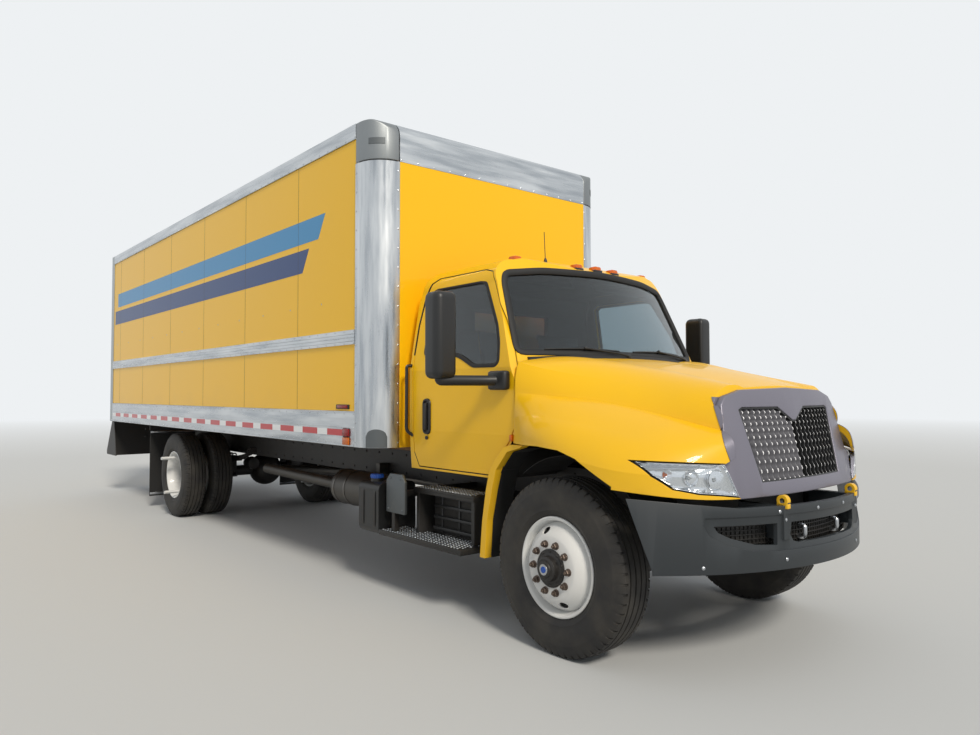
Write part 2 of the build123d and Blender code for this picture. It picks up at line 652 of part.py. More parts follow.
# Cross sections of the hood. Each (y, z) is on the left half: edge of the crown, a point between,
# shoulder, a point between, crease, three points down the fender's top and its side, and foot.
# x is the station, top is the crown and low is the height of the lower edge.
HOOD_STATIONS = (
    dict(x=-424, top=1824, edge=(600, 1806), upper=(830, 1790), shoulder=(1010, 1762),
         flank=(1036, 1670), crease=(1040, 1565), swell=(1044, 1480), brow=(1048, 1400),
         side=(1052, 1310), foot=(1056, 1235), low=1040),
    dict(x=100, top=1757, edge=(440, 1735), upper=(618, 1725), shoulder=(775, 1640),
         flank=(830, 1581), crease=(872, 1512), swell=(985, 1462), brow=(1090, 1392),
         side=(1170, 1310), foot=(1198, 1215), low=1040),
    dict(x=500, top=1684, edge=(400, 1660), upper=(553, 1643), shoulder=(684, 1562),
         flank=(732, 1504), crease=(766, 1438), swell=(880, 1394), brow=(1000, 1330),
         side=(1100, 1250), foot=(1160, 1140), low=1034),
    dict(x=790, top=1609, edge=(370, 1590), upper=(526, 1591), shoulder=(650, 1497),
         flank=(680, 1435), crease=(692, 1366), swell=(775, 1335), brow=(860, 1290),
         side=(940, 1220), foot=(992, 1120), low=1006),
    dict(x=955, top=1555, edge=(330, 1541), upper=(458, 1538), shoulder=(560, 1462),
         flank=(591, 1400), crease=(600, 1332), swell=(615, 1305), brow=(628, 1270),
         side=(642, 1210), foot=(652, 1110), low=990),
)
# Share of the skin's thickness by which each point of the room's section stays up
INNER_RAISE = dict(
    edge=0, upper=0.15, shoulder=0.3, flank=0.45, crease=0.6, swell=0.3, brow=0.3, side=0.5, foot=1,
)


def hood_wire(station, inset):
    """One closed cross section of the hood, or of the room under it."""
    x = station["x"]
    low = station["low"] - (60 if inset else 0)
    half = station["foot"][0] - inset

    def point(name, side):
        y, z = station[name]
        return (x, side * (y - inset), z - inset * (1 - INNER_RAISE[name]))

    edges = []
    for side in (1, -1):
        for names in (("edge", "upper", "shoulder"), ("shoulder", "flank", "crease"),
                      ("crease", "swell", "brow"), ("brow", "side", "foot")):
            edges.append(ThreePointArc(*[point(name, side) for name in names]))
        edges.append(Line(point("foot", side), (x, side * half, low)))
    edges.append(ThreePointArc(point("edge", 1), (x, 0, station["top"] - inset), point("edge", -1)))
    edges.append(Line((x, half, low), (x, -half, low)))
    return make_face(edges)


def hood_form(inset=0.0):
    return loft([hood_wire(station, inset) for station in HOOD_STATIONS])


# x, z of the wheel arch, open behind to the cab's flank
ARCH = [
    (486, 960), (486, 1052), (372, 1118), (250, 1188), (112, 1228), (-80, 1240), (-260, 1236), (-500, 1236),
    (-500, 900),
]
# y, z of the grille surround, of its opening and of a headlamp, left half or left lamp
SURROUND = [
    (648, 985), (700, 1080), (750, 1172), (682, 1205), (676, 1262), (666, 1350), (642, 1490), (600, 1536),
    (450, 1574), (0, 1588),
]
GRILLE = [(448, 1062), (512, 1462), (480, 1475), (150, 1475), (18, 1396)]
LAMP = [
    (668, 1004), (709, 1080), (758, 1174), (950, 1184), (1100, 1190), (1072, 1122), (1005, 1056), (900, 1030),
    (780, 1018),
]


def nose_pieces():
    outer = hood_form()
    skin = outer - hood_form(HOOD_SKIN)
    cowl = block(-900, 0, -1200, 1200, 1740, 1900)
    skin -= leaning_cylinder(SCREEN_FOOT, SCREEN_HEAD, SCREEN_RADIUS, back=-42) & cowl
    arch = side_prism(ARCH, 800, 1300)
    lamp_left = front_prism(LAMP, 300, 1100)
    lamp_room = front_prism(LAMP, 300, 1100, grow=8)
    rear = leaning_cylinder(GRILLE_FOOT, GRILLE_HEAD, GRILLE_RADIUS, back=SURROUND_DEPTH)
    seam = front_prism(mirrored(SURROUND), 500, 1200, grow=6) + block(500, 1200, -662, 662, 1484, 1700)
    seam -= leaning_cylinder(GRILLE_FOOT, GRILLE_HEAD, GRILLE_RADIUS, back=SURROUND_DEPTH + 4)
    hood = skin - arch - left(arch) - lamp_room - left(lamp_room) - seam
    face = leaning_cylinder(GRILLE_FOOT, GRILLE_HEAD, GRILLE_RADIUS)
    surround = (front_prism(mirrored(SURROUND), 500, 1200) & face) - rear
    surround -= front_prism(mirrored(GRILLE), 500, 1200)
    lamp = (lamp_left & outer) - hood_form(70)
    return hood, surround, lamp


def grille():
    """Upright bars on a backing plate, filling the surround's opening."""
    face = leaning_cylinder(GRILLE_FOOT, GRILLE_HEAD, GRILLE_RADIUS, back=14)
    middle = leaning_cylinder(GRILLE_FOOT, GRILLE_HEAD, GRILLE_RADIUS, back=34)
    back = leaning_cylinder(GRILLE_FOOT, GRILLE_HEAD, GRILLE_RADIUS, back=48)
    area = front_prism(mirrored(GRILLE), 500, 1200, grow=-0.5)
    plate = (area & middle) - back
    bars = None
    for number in range(-GRILLE_BARS, GRILLE_BARS):
        y = (number + 0.5) * GRILLE_PITCH
        slat = block(700, 1100, y - GRILLE_PITCH / 4, y + GRILLE_PITCH / 4, 1000, 1500)
        bars = slat if bars is None else bars + slat
    return plate + ((area & face & bars) - middle)


# y, z of the bumper's pressed panel, middle opening and left side opening
BUMPER_PANEL = [(480, 706), (620, 716), (760, 750), (850, 805), (880, 860), (870, 898), (0, 898)]
MIDDLE_OPENING = [(310, 738), (350, 750), (372, 785), (362, 852), (0, 852)]
SIDE_OPENING = [(462, 736), (600, 746), (740, 788), (800, 820), (822, 852), (462, 852)]


def bumper_form(back=0.0):
    """The bumper's rounded front, or the room inside it."""
    low = Align.MIN
    middle = Align.CENTER
    drum = Cylinder(BUMPER_RADIUS - back, BUMPER_END_TOP - BUMPER_BOTTOM, align=(middle, middle, low))
    ahead = block(BUMPER_END, NOSE_X, -1300, 1300, BUMPER_BOTTOM, BUMPER_END_TOP)
    return Pos(NOSE_X - BUMPER_RADIUS, 0, BUMPER_BOTTOM) * drum & ahead


def front_bumper():
    """Wrap-round bumper, higher at its ends, which are cut to follow the tyre, with two tow eyes."""
    shell = bumper_form() - bumper_form(BUMPER_SKIN)
    end = side_prism([(500, 560), (702, 560), (702, 625), (606, 1003), (606, 1030), (500, 1030)], 900, 1300)
    shell = shell - end - left(end)
    shell -= front_prism(mirrored([(700, BUMPER_TOP), (1190, BUMPER_END_TOP), (1190, 1100)]), 400, 1200)
    shell -= front_prism(mirrored(BUMPER_PANEL), 400, 1200) - bumper_form(10)
    side = front_prism(SIDE_OPENING, 400, 1200)
    shell = shell - front_prism(mirrored(MIDDLE_OPENING), 400, 1200) - side - left(side)
    bracket = block(FRAME_FRONT + 1, 1075, RAIL_HALF - 60, RAIL_HALF, 760, 940)
    x, y, z = TOW_EYE
    near, far = y - TOW_EYE_THICK / 2, y + TOW_EYE_THICK / 2
    bracket += block(x - 32, x + 32, near, far, 930, z) + cross_rod(x, z, 32, near, far)
    bracket -= cross_rod(x, z, TOW_EYE_BORE, near - 1, far + 1)
    return shell + bracket + left(bracket)


def lamps():
    """Roof marker lamps of the cab, and tail lamps and clearance lamps on the rear frame."""
    solids = []
    # x, y, z of the middle of each roof lamp
    for x, y, z in ((-668, 0, 2500), (-675, 200, 2497), (-800, 700, 2520)):
        lamp = block(x - 40, x + 40, y - 38, y + 38, z - 45, z + 22) - cab_form()
        solids += [lamp, left(lamp)] if y else [lamp]
    rear = BOX_REAR
    # y, z, half width and half height of each rear lamp
    for y, z, wide, tall in (
        (1247, 1350, 32, 95), (1247, 3640, 30, 22), (120, 3640, 40, 20), (0, 3640, 40, 20),
    ):
        lamp = block(rear - 22, rear, y - wide, y + wide, z - tall, z + tall)
        solids += [lamp, left(lamp)] if y else [lamp]
    return solids


def both(name, right):
    save(f"{name}_right", right)
    save(f"{name}_left", left(right))


save("frame_rails", frame_rails())
save("front_axle", front_axle())
save("leaf_springs", *leaf_springs())
save("rear_axle", rear_axle())
save("driveshaft", driveshaft())
save("engine_block", engine_block())
save("radiator", radiator())
both("front_tyre", tyre(0, -FRONT_WHEEL_Y))
both("front_rim", front_rim())
rear_tyres = Compound(children=[tyre(-WHEELBASE, -REAR_OUTER_Y), tyre(-WHEELBASE, -REAR_INNER_Y)])
both("rear_tyres", rear_tyres)
both("rear_rims", rear_rims())
both("knuckle", knuckle())
shell, door, pane, panes = cab_pieces()
save("cab_shell", shell)
save("cab_glass", *panes)
both("door", door)
both("door_glass", pane)
both("mirror", mirror_head())
save("dashboard", dashboard())
save("steering_wheel", steering_wheel())
save("seats", *seats())
cargo_box()
save("rear_portal", rear_portal())
save("roll_door", roll_door())
save("cargo_floor", cargo_floor())
save("rear_bumper", rear_bumper())
save("mudflaps", *mudflaps())
steps = cab_steps()
save("cab_steps", steps, left(steps))
save("fluid_tank", fluid_tank())
save("fuel_tank", fuel_tank())
save("exhaust", exhaust())
hood, surround, lamp = nose_pieces()
save("hood", hood)
save("grille_surround", surround)
save("grille", grille())
save("headlamps", lamp, left(lamp))
save("front_bumper", front_bumper())
save("body_lamps", *lamps())
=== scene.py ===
"""Looks of a bonneted box truck: finishes for its built pieces, and the fittings, seals, treads,
fasteners, trim and stripes that go on them. Metres; X forward, Y to the truck's left, Z up."""

import json
import math

import bmesh
import bpy
from bpy.props import FloatProperty, FloatVectorProperty, IntProperty, PointerProperty
from mathutils import Matrix, Vector
from mathutils.bvhtree import BVHTree


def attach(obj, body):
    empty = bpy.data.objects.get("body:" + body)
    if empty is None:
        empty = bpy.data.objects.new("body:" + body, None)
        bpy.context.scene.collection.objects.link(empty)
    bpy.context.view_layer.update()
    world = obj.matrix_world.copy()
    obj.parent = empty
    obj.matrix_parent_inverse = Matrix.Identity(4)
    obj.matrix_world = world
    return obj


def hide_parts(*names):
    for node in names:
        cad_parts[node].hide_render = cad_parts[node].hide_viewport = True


bl_info = {
    "name": "Box truck",
    "version": (1, 0, 0),
    "blender": (4, 5, 0),
    "location": "3D View > Sidebar > Truck",
    "description": "Dresses a packed box truck with its finishes and fittings",
    "category": "Object",
}

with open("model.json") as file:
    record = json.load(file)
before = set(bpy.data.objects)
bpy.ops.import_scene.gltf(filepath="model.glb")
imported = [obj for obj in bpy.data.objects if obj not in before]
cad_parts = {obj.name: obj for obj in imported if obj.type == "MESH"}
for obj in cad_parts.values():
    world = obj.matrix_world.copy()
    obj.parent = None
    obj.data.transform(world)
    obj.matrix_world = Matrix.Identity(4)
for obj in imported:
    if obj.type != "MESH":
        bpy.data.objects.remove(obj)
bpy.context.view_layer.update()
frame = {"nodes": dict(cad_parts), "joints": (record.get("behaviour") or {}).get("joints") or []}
JOINT = {joint["name"]: joint for joint in frame["joints"]}

# Places that many pieces are measured from
AXLE = Vector((JOINT["steer_right"]["pos_m"][0], 0, JOINT["front_spin_right"]["pos_m"][2]))
REAR_AXLE_X = JOINT["rear_spin_right"]["pos_m"][0]
MM = 0.001


# Colours and materials

def linear(code):
    """A linear RGBA colour from an sRGB hex code."""
    channels = [int(code[k:k + 2], 16) / 255 for k in (1, 3, 5)]
    return [c / 12.92 if c <= 0.04045 else ((c + 0.055) / 1.055) ** 2.4 for c in channels] + [1.0]


def add(tree, kind, *links, **settings):
    """Adds a node to a tree. A setting that names an input sets it, and any other is the node's own.
    A link is (input, from node, output)."""
    node = tree.nodes.new(kind)
    for name, value in settings.items():
        label = name.replace("_", " ")
        match = [s for s in node.inputs if s.name.lower() == label.lower() and s.enabled]
        if match:
            match[0].default_value = value
        else:
            setattr(node, name, value)
    for socket, source, output in links:
        tree.links.new(source.outputs[output], node.inputs[socket])
    return node


def finish(name, colour, roughness, **settings):
    """A new material with one Principled shader: returns the material, its tree and the shader."""
    material = bpy.data.materials.new(name)
    material.use_nodes = True
    tree = material.node_tree
    shader = tree.nodes["Principled BSDF"]
    shader.inputs["Base Color"].default_value = linear(colour) if isinstance(colour, str) else colour
    shader.inputs["Roughness"].default_value = roughness
    for label, value in settings.items():
        shader.inputs[label.replace("_", " ")].default_value = value
    return material, tree, shader


def grain(tree, shader, per_mm, height_mm, stretch=(1, 1, 1), detail=3.0, strength=1.0):
    """Surface relief of noise, its size in cells per millimetre and its height in millimetres. Returns
    the noise, its mapping and the bump."""
    place = add(tree, "ShaderNodeTexCoord")
    scaled = add(tree, "ShaderNodeMapping", ("Vector", place, "Object"))
    scaled.inputs["Scale"].default_value = stretch
    noise = add(tree, "ShaderNodeTexNoise", ("Vector", scaled, "Vector"), Scale=per_mm / MM, Detail=detail)
    bump = add(tree, "ShaderNodeBump", ("Height", noise, "Fac"), Strength=strength, Distance=height_mm * MM)
    tree.links.new(bump.outputs["Normal"], shader.inputs["Normal"])
    return noise, scaled, bump


def shade(tree, source, output, stops):
    """A colour ramp on a value. Stops are (place, colour)."""
    ramp = add(tree, "ShaderNodeValToRGB", ("Fac", source, output))
    elements = ramp.color_ramp.elements
    for place, colour in stops[2:]:
        elements.new(place)
    for element, (place, colour) in zip(elements, stops):
        element.position = place
        element.color = linear(colour) if isinstance(colour, str) else (colour, colour, colour, 1)
    return ramp


def low_mask(tree, full_z, none_z):
    """1 below full_z and 0 above none_z, with a ragged edge."""
    place = add(tree, "ShaderNodeTexCoord")
    height = add(tree, "ShaderNodeSeparateXYZ", ("Vector", place, "Object"))
    ragged = add(tree, "ShaderNodeTexNoise", ("Vector", place, "Object"), Scale=3.5, Detail=5.0)
    spread = add(tree, "ShaderNodeMath", (0, ragged, "Fac"), operation="MULTIPLY_ADD")
    spread.inputs[1].default_value = 0.6
    tree.links.new(height.outputs["Z"], spread.inputs[2])
    return add(
        tree, "ShaderNodeMapRange", ("Value", spread, "Value"),
        From_Min=full_z + 0.3, From_Max=none_z + 0.3, To_Min=1.0, To_Max=0.0,
    )


def tint(tree, shader, colour, mask, output, share):
    """Lays a second colour over the shader's own where the mask is 1."""
    part = add(tree, "ShaderNodeMath", (0, mask, output), operation="MULTIPLY")
    part.inputs[1].default_value = share
    mix = add(tree, "ShaderNodeMix", data_type="RGBA")
    base = shader.inputs["Base Color"]
    if base.is_linked:
        tree.links.new(base.links[0].from_socket, mix.inputs[6])
    else:
        mix.inputs[6].default_value = base.default_value
    mix.inputs[7].default_value = linear(colour)
    tree.links.new(part.outputs[0], mix.inputs[0])
    tree.links.new(mix.outputs[2], base)


def soft_edges(tree, bump, radius_mm):
    """Rounds the shading at a built piece's sharp edges, as a pressed or ground edge is rounded."""
    bevel = add(tree, "ShaderNodeBevel", samples=6, Radius=radius_mm * MM)
    tree.links.new(bevel.outputs["Normal"], bump.inputs["Normal"])


def sprayed_enamel(name, colour, dust_top):
    """Two-pack enamel sprayed on smooth panels: deep gloss, faint orange peel, road dust low down."""
    material, tree, shader = finish(name, colour, 0.42, Coat_Weight=0.3, Coat_Roughness=0.05)
    shader.inputs["Specular IOR Level"].default_value = 0.25
    # Orange peel is about 3 mm across and hundredths of a millimetre high
    _, _, bump = grain(tree, shader, 0.3, 0.05, strength=0.35)
    soft_edges(tree, bump, 5)
    dust = low_mask(tree, dust_top - 0.7, dust_top)
    tint(tree, shader, "#8A7B62", dust, "Result", 0.14)
    return material


def extruded_aluminium(name, lengthwise):
    """Mill-finish aluminium: die lines along its length, and streaks of tone along it that are partly tarnish
    and partly painted reflection.
    """
    material, tree, shader = finish(name, "#C4C8CB", 0.33, Metallic=1.0)
    stretch = tuple(0.01 if k == lengthwise else 1.0 for k in range(3))
    # Die lines are under 1 mm apart, drawn here at 4 mm so that they show
    _, scaled, bump = grain(tree, shader, 0.25, 0.10, stretch=stretch, strength=0.35)
    soft_edges(tree, bump, 3)
    # Tarnish and painted reflection run with the die lines, in streaks some 60 mm wide
    drawn = add(tree, "ShaderNodeMapping", ("Vector", scaled, "Vector"))
    drawn.inputs["Scale"].default_value = tuple(10.0 if k == lengthwise else 1.0 for k in range(3))
    cloud = add(tree, "ShaderNodeTexNoise", ("Vector", drawn, "Vector"), Scale=16.0, Detail=4.0)
    worn = shade(tree, cloud, "Fac", [(0.35, 0.20), (0.65, 0.38)])
    tree.links.new(worn.outputs["Color"], shader.inputs["Roughness"])
    # Painted reflection: the base colour's streaks along the length stand partly for reflections, partly for
    # tarnish.
    tone = shade(tree, cloud, "Fac", [(0.3, "#A3A8AD"), (0.7, "#D6D9DB")])
    tree.links.new(tone.outputs["Color"], shader.inputs["Base Color"])
    return material


def cast_metal(name, colour, roughness, metallic):
    """Sand-cast metal, or a moulding in metallic paint: a dull skin with a pebbled grain, 2 mm across."""
    material, tree, shader = finish(name, colour, roughness, Metallic=metallic)
    _, _, bump = grain(tree, shader, 0.5, 0.4, strength=0.6)
    soft_edges(tree, bump, 5)
    return material


def moulded_plastic(name, colour, roughness, grain_mm):
    """Injection-moulded thermoplastic with a leather-like grain off the tool."""
    material, tree, shader = finish(name, colour, roughness)
    noise, _, bump = grain(tree, shader, 1 / grain_mm, 0.15, strength=0.5)
    soft_edges(tree, bump, 4)
    worn = shade(tree, noise, "Fac", [(0.3, max(roughness - 0.08, 0.05)), (0.7, roughness + 0.08)])
    tree.links.new(worn.outputs["Color"], shader.inputs["Roughness"])
    return material


def tyre_rubber():
    """Carbon-black rubber: nearly matt, with a bloom of dust in clouds over it."""
    material, tree, shader = finish("Tyre rubber", "#1B1B1C", 0.72, IOR=1.52)
    grain(tree, shader, 0.6, 0.25, strength=0.5)
    place = add(tree, "ShaderNodeTexCoord")
    cloud = add(tree, "ShaderNodeTexNoise", ("Vector", place, "Object"), Scale=6.0, Detail=6.0)
    tone = shade(tree, cloud, "Fac", [(0.35, "#1D1C1C"), (0.72, "#37342F")])
    tree.links.new(tone.outputs["Color"], shader.inputs["Base Color"])
    return material


def chassis_enamel(name, colour):
    """Brushed-on chassis enamel: half gloss under a film of road dust."""
    material, tree, shader = finish(name, colour, 0.5)
    _, _, bump = grain(tree, shader, 0.12, 0.3, strength=0.4)
    soft_edges(tree, bump, 3)
    place = add(tree, "ShaderNodeTexCoord")
    cloud = add(tree, "ShaderNodeTexNoise", ("Vector", place, "Object"), Scale=4.0, Detail=7.0)
    tint(tree, shader, "#5B5145", cloud, "Fac", 0.15)
    return material


def plated_steel(name, colour, roughness):
    """Zinc-plated steel fasteners: bright, with a slightly uneven plate."""
    material, tree, shader = finish(name, colour, roughness, Metallic=1.0)
    grain(tree, shader, 0.8, 0.05, strength=0.4)
    return material


def clear_glass(name, colour, roughness=0.0):
    """Float glass: sharp reflections, and a body tint that darkens what is behind it."""
    return finish(name, colour, roughness, Transmission_Weight=1.0, IOR=1.5)[0]


def moulded_lens(name, colour):
    """Acrylic lens: clear colour over fine moulded flutes, 6 mm apart."""
    material, tree, shader = finish(name, colour, 0.08, Transmission_Weight=0.35, IOR=1.49)
    place = add(tree, "ShaderNodeTexCoord")
    flutes = add(tree, "ShaderNodeTexWave", ("Vector", place, "Object"), Scale=1 / (6 * MM) / 6.3)
    bump = add(tree, "ShaderNodeBump", ("Height", flutes, "Fac"), Strength=0.5, Distance=1.0 * MM)
    tree.links.new(bump.outputs["Normal"], shader.inputs["Normal"])
    return material


def cast_vinyl(name, colour, roughness=0.28):
    """Calendered vinyl film: flat colour, even satin gloss, with a faint ripple from the panel."""
    material, tree, shader = finish(name, colour, roughness, Coat_Weight=0.25)
    grain(tree, shader, 0.02, 0.2, strength=0.25)
    return material


def planed_oak():
    """Laminated oak floor: strips 30 mm wide along the truck."""
    material, tree, shader = finish("Laminated oak", "#8A6238", 0.6)
    place = add(tree, "ShaderNodeTexCoord")
    long = add(tree, "ShaderNodeMapping", ("Vector", place, "Object"))
    long.inputs["Scale"].default_value = (0.05, 1, 1)
    figure = add(tree, "ShaderNodeTexNoise", ("Vector", long, "Vector"), Scale=1 / (30 * MM), Detail=6.0)
    tone = shade(tree, figure, "Fac", [(0.3, "#6E4A26"), (0.7, "#A67C4C")])
    tree.links.new(tone.outputs["Color"], shader.inputs["Base Color"])
    bump = add(tree, "ShaderNodeBump", ("Height", figure, "Fac"), Strength=0.4, Distance=0.5 * MM)
    tree.links.new(bump.outputs["Normal"], shader.inputs["Normal"])
    return material


# Mesh making

def piece(name, bm, body, material, replaced=(), sharp=32):
    """Makes an object of a bmesh, smooth but for edges sharper than the angle, riding on a body."""
    bmesh.ops.recalc_face_normals(bm, faces=bm.faces)
    mesh = bpy.data.meshes.new(name)
    bm.to_mesh(mesh)
    bm.free()
    mesh.materials.append(bpy.data.materials[material])
    for polygon in mesh.polygons:
        polygon.use_smooth = True
    mesh.set_sharp_from_angle(angle=math.radians(sharp))
    made = bpy.data.objects.new(name, mesh)
    bpy.context.scene.collection.objects.link(made)
    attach(made, body)
    if replaced:
        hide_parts(*replaced)
    return made


def round_edges(bm, verts, radius, segments=2, angle=30):
    """Rounds the edges at these vertices where two faces meet at more than the angle."""
    edges = {edge for vert in verts for edge in vert.link_edges if edge.is_manifold}
    sharp = [edge for edge in edges if edge.calc_face_angle(0) > math.radians(angle)]
    bmesh.ops.bevel(bm, geom=sharp, offset=radius, segments=segments, profile=0.5, affect="EDGES",
                    clamp_overlap=True)


def cuboid(bm, low, high, edge=0.0, turn=None):
    """A block between two corners, its edges rounded, then turned by a matrix about its centre."""
    low, high = Vector(low), Vector(high)
    verts = bmesh.ops.create_cube(bm, size=1.0)["verts"]
    place = Matrix.Translation((low + high) / 2) @ (turn or Matrix.Identity(4))
    place = place @ Matrix.Diagonal((*(high - low), 1))
    bmesh.ops.transform(bm, matrix=place, verts=verts)
    if edge:
        round_edges(bm, verts, edge)


def prism(bm, outline, depth, edge=0.0):
    """A flat outline of points, extruded along a vector."""
    depth = Vector(depth)
    near = [bm.verts.new(Vector(point)) for point in outline]
    far = [bm.verts.new(Vector(point) + depth) for point in outline]
    count = len(near)
    faces = [bm.faces.new(near), bm.faces.new(far[::-1])]
    for k in range(count):
        faces.append(bm.faces.new((near[k], far[k], far[(k + 1) % count], near[(k + 1) % count])))
    bmesh.ops.recalc_face_normals(bm, faces=faces)
    if edge:
        round_edges(bm, near + far, edge)


def across(direction):
    """Two unit vectors square to a direction."""
    direction = Vector(direction).normalized()
    first = direction.cross(Vector((0, 0, 1)) if abs(direction.z) < 0.9 else Vector((1, 0, 0))).normalized()
    return first, direction.cross(first)


def lathe(bm, profile, centre, axis, steps=24, start=0.0, closed=False):
    """Turns a profile of (along, radius) points about an axis through a centre."""
    centre, axis = Vector(centre), Vector(axis).normalized()
    first, second = across(axis)
    rings = []
    for along, radius in profile:
        ring = []
        for k in range(steps if radius > 1e-6 else 1):
            angle = start + 2 * math.pi * k / steps
            spoke = first * math.cos(angle) + second * math.sin(angle)
            ring.append(bm.verts.new(centre + axis * along + spoke * radius))
        rings.append(ring)
    pairs = list(zip(rings, rings[1:])) + ([(rings[-1], rings[0])] if closed else [])
    for one, other in pairs:
        for k in range(steps):
            corners = [one[k % len(one)], one[(k + 1) % len(one)],
                       other[(k + 1) % len(other)], other[k % len(other)]]
            unique = list(dict.fromkeys(corners))
            if len(unique) > 2:
                bm.faces.new(unique)
    if not closed:
        for ring in (rings[0], rings[-1]):
            if len(ring) > 2:
                bm.faces.new(ring)


def tube(bm, points, radius, sides=10):
    """A round bar along a list of points, its corners mitred and its ends closed."""
    points = [Vector(point) for point in points]
    rings = []
    first, second = across(points[1] - points[0])
    for k, point in enumerate(points):
        ahead = (points[min(k + 1, len(points) - 1)] - point).normalized() if k + 1 < len(points) else None
        behind = (point - points[k - 1]).normalized() if k else None
        along = ((ahead or behind) + (behind or ahead)).normalized()
        second = along.cross(first).normalized()
        first = second.cross(along).normalized()
        stretch = 1 / max((ahead or along).dot(along), 0.5)
        ring = []
        for side in range(sides):
            angle = 2 * math.pi * side / sides
            spoke = first * math.cos(angle) + second * math.sin(angle)
            ring.append(bm.verts.new(point + spoke * radius * stretch))
        rings.append(ring)
    for one, other in zip(rings, rings[1:]):
        for k in range(sides):
            bm.faces.new((one[k], one[(k + 1) % sides], other[(k + 1) % sides], other[k]))
    bm.faces.new(rings[0])
    bm.faces.new(rings[-1])


def bend(points, radius, steps=4, closed=False):
    """The same route with each corner between its ends, or each one if it is closed, made a short curve."""
    points = [Vector(point) for point in points]
    if closed:
        points = [points[-1], *points, points[0]]
    route = [] if closed else [points[0]]
    for before, corner, after in zip(points, points[1:], points[2:]):
        into = min(radius, (corner - before).length / 2, (after - corner).length / 2)
        start = corner + (before - corner).normalized() * into
        end = corner + (after - corner).normalized() * into
        for k in range(steps + 1):
            t = k / steps
            route.append(start * (1 - t) ** 2 + corner * 2 * t * (1 - t) + end * t ** 2)
    return route if closed else route + [points[-1]]


def fastener(bm, place, axis, radius, height, sides=8, start=0.0):
    """A low domed head."""
    profile = [(-height * 0.3, radius), (height * 0.35, radius), (height * 0.85, radius * 0.62), (height, 0)]
    lathe(bm, profile, place, axis, sides, start)


def hex_nut(bm, place, axis, across_flats, height, start=0.0):
    """A flange nut with a chamfered top and the stud's end standing out of it."""
    corner = across_flats / math.sqrt(3)
    flange = [(0, corner * 1.18), (height * 0.12, corner * 1.18), (height * 0.2, corner)]
    nut = [(height * 0.1, corner), (height * 0.85, corner), (height, corner * 0.84)]
    stud = [(height * 0.9, corner * 0.5), (height * 1.3, corner * 0.5), (height * 1.38, corner * 0.42)]
    lathe(bm, flange, place, axis, 18)
    lathe(bm, nut, place, axis, 6, start)
    lathe(bm, stud, place, axis, 12)


def eased(name, node, body, material, radius, angle=38, segments=2):
    """A built piece with its sharp edges rounded, which stands for the sharp one."""
    bm = bmesh.new()
    bm.from_mesh(frame["nodes"][node].data)
    bmesh.ops.remove_doubles(bm, verts=bm.verts, dist=0.02 * MM)
    bmesh.ops.dissolve_limit(bm, angle_limit=math.radians(0.6), verts=bm.verts, edges=bm.edges)
    round_edges(bm, bm.verts, radius, segments, angle)
    return piece(name, bm, body, material, [node], sharp=28)


def clad(node, *materials):
    """Gives a built piece its finish."""
    slots = frame["nodes"][node].data.materials
    slots.clear()
    for material in materials:
        slots.append(bpy.data.materials[material])


def cut(target, bm):
    """Cuts the shapes of a bmesh out of an object's mesh."""
    mesh = bpy.data.meshes.new("cutter")
    bmesh.ops.recalc_face_normals(bm, faces=bm.faces)
    bm.to_mesh(mesh)
    bm.free()
    cutter = bpy.data.objects.new("cutter", mesh)
    bpy.context.scene.collection.objects.link(cutter)
    modifier = target.modifiers.new("cut", "BOOLEAN")
    modifier.object = cutter
    modifier.solver = "EXACT"
    bpy.context.view_layer.update()
    shape = bpy.data.meshes.new_from_object(target.evaluated_get(bpy.context.evaluated_depsgraph_get()))
    target.modifiers.clear()
    target.data = shape
    shape.set_sharp_from_angle(angle=math.radians(32))
    bpy.data.objects.remove(cutter)


SIDES = (("right", -1), ("left", 1))


def at(x, y, z):
    """A place in millimetres from the floor under the middle of the front axle."""
    return Vector((AXLE.x + x * MM, y * MM, z * MM))


def block(bm, low, high, edge=0.0, turn=None):
    """A block between two corners given in millimetres, its edges rounded."""
    cuboid(bm, at(*low), at(*high), edge * MM, turn)


def beside(bm, side, x0, x1, near, far, z0, z1, edge=0.0):
    """A block on one side of the truck, between two distances from its middle."""
    y0, y1 = sorted((side * near, side * far))
    block(bm, (x0, y0, z0), (x1, y1, z1), edge)


def mirrored(points):
    """A left half outline of (y, z) points completed on the right."""
    return list(points) + [(-y, z) for y, z in reversed(points) if y]


def spaced(points, pitch):
    """A closed outline with its long runs divided."""
    points = [Vector(point) for point in points]
    divided = []
    for k, point in enumerate(points):
        after = points[(k + 1) % len(points)]
        parts = max(1, math.ceil((after - point).length / pitch))
        divided += [point.lerp(after, n / parts) for n in range(parts)]
    return divided


def strip(bm, route, section, closed=False):
    """A moulding run along pairs of a place and the direction out of the surface there.
    Its section's corners are (across, out) in millimetres."""
    rings = []
    for k, (place, out) in enumerate(route):
        before = route[k - 1][0] if closed or k else place
        after = route[(k + 1) % len(route)][0] if closed or k + 1 < len(route) else place
        into, away = (place - before).normalized(), (after - place).normalized()
        along = (into + away).normalized()
        side = along.cross(out).normalized()
        mitre = 1 / max(along.dot(away if away.length else into), 0.5)
        rings.append([bm.verts.new(place + side * a * MM * mitre + out * h * MM) for a, h in section])
    size = len(section)
    for one, other in list(zip(rings, rings[1:])) + ([(rings[-1], rings[0])] if closed else []):
        for k in range(size):
            bm.faces.new((one[k], one[(k + 1) % size], other[(k + 1) % size], other[k]))
    if not closed:
        bm.faces.new(rings[0])
        bm.faces.new(rings[-1])


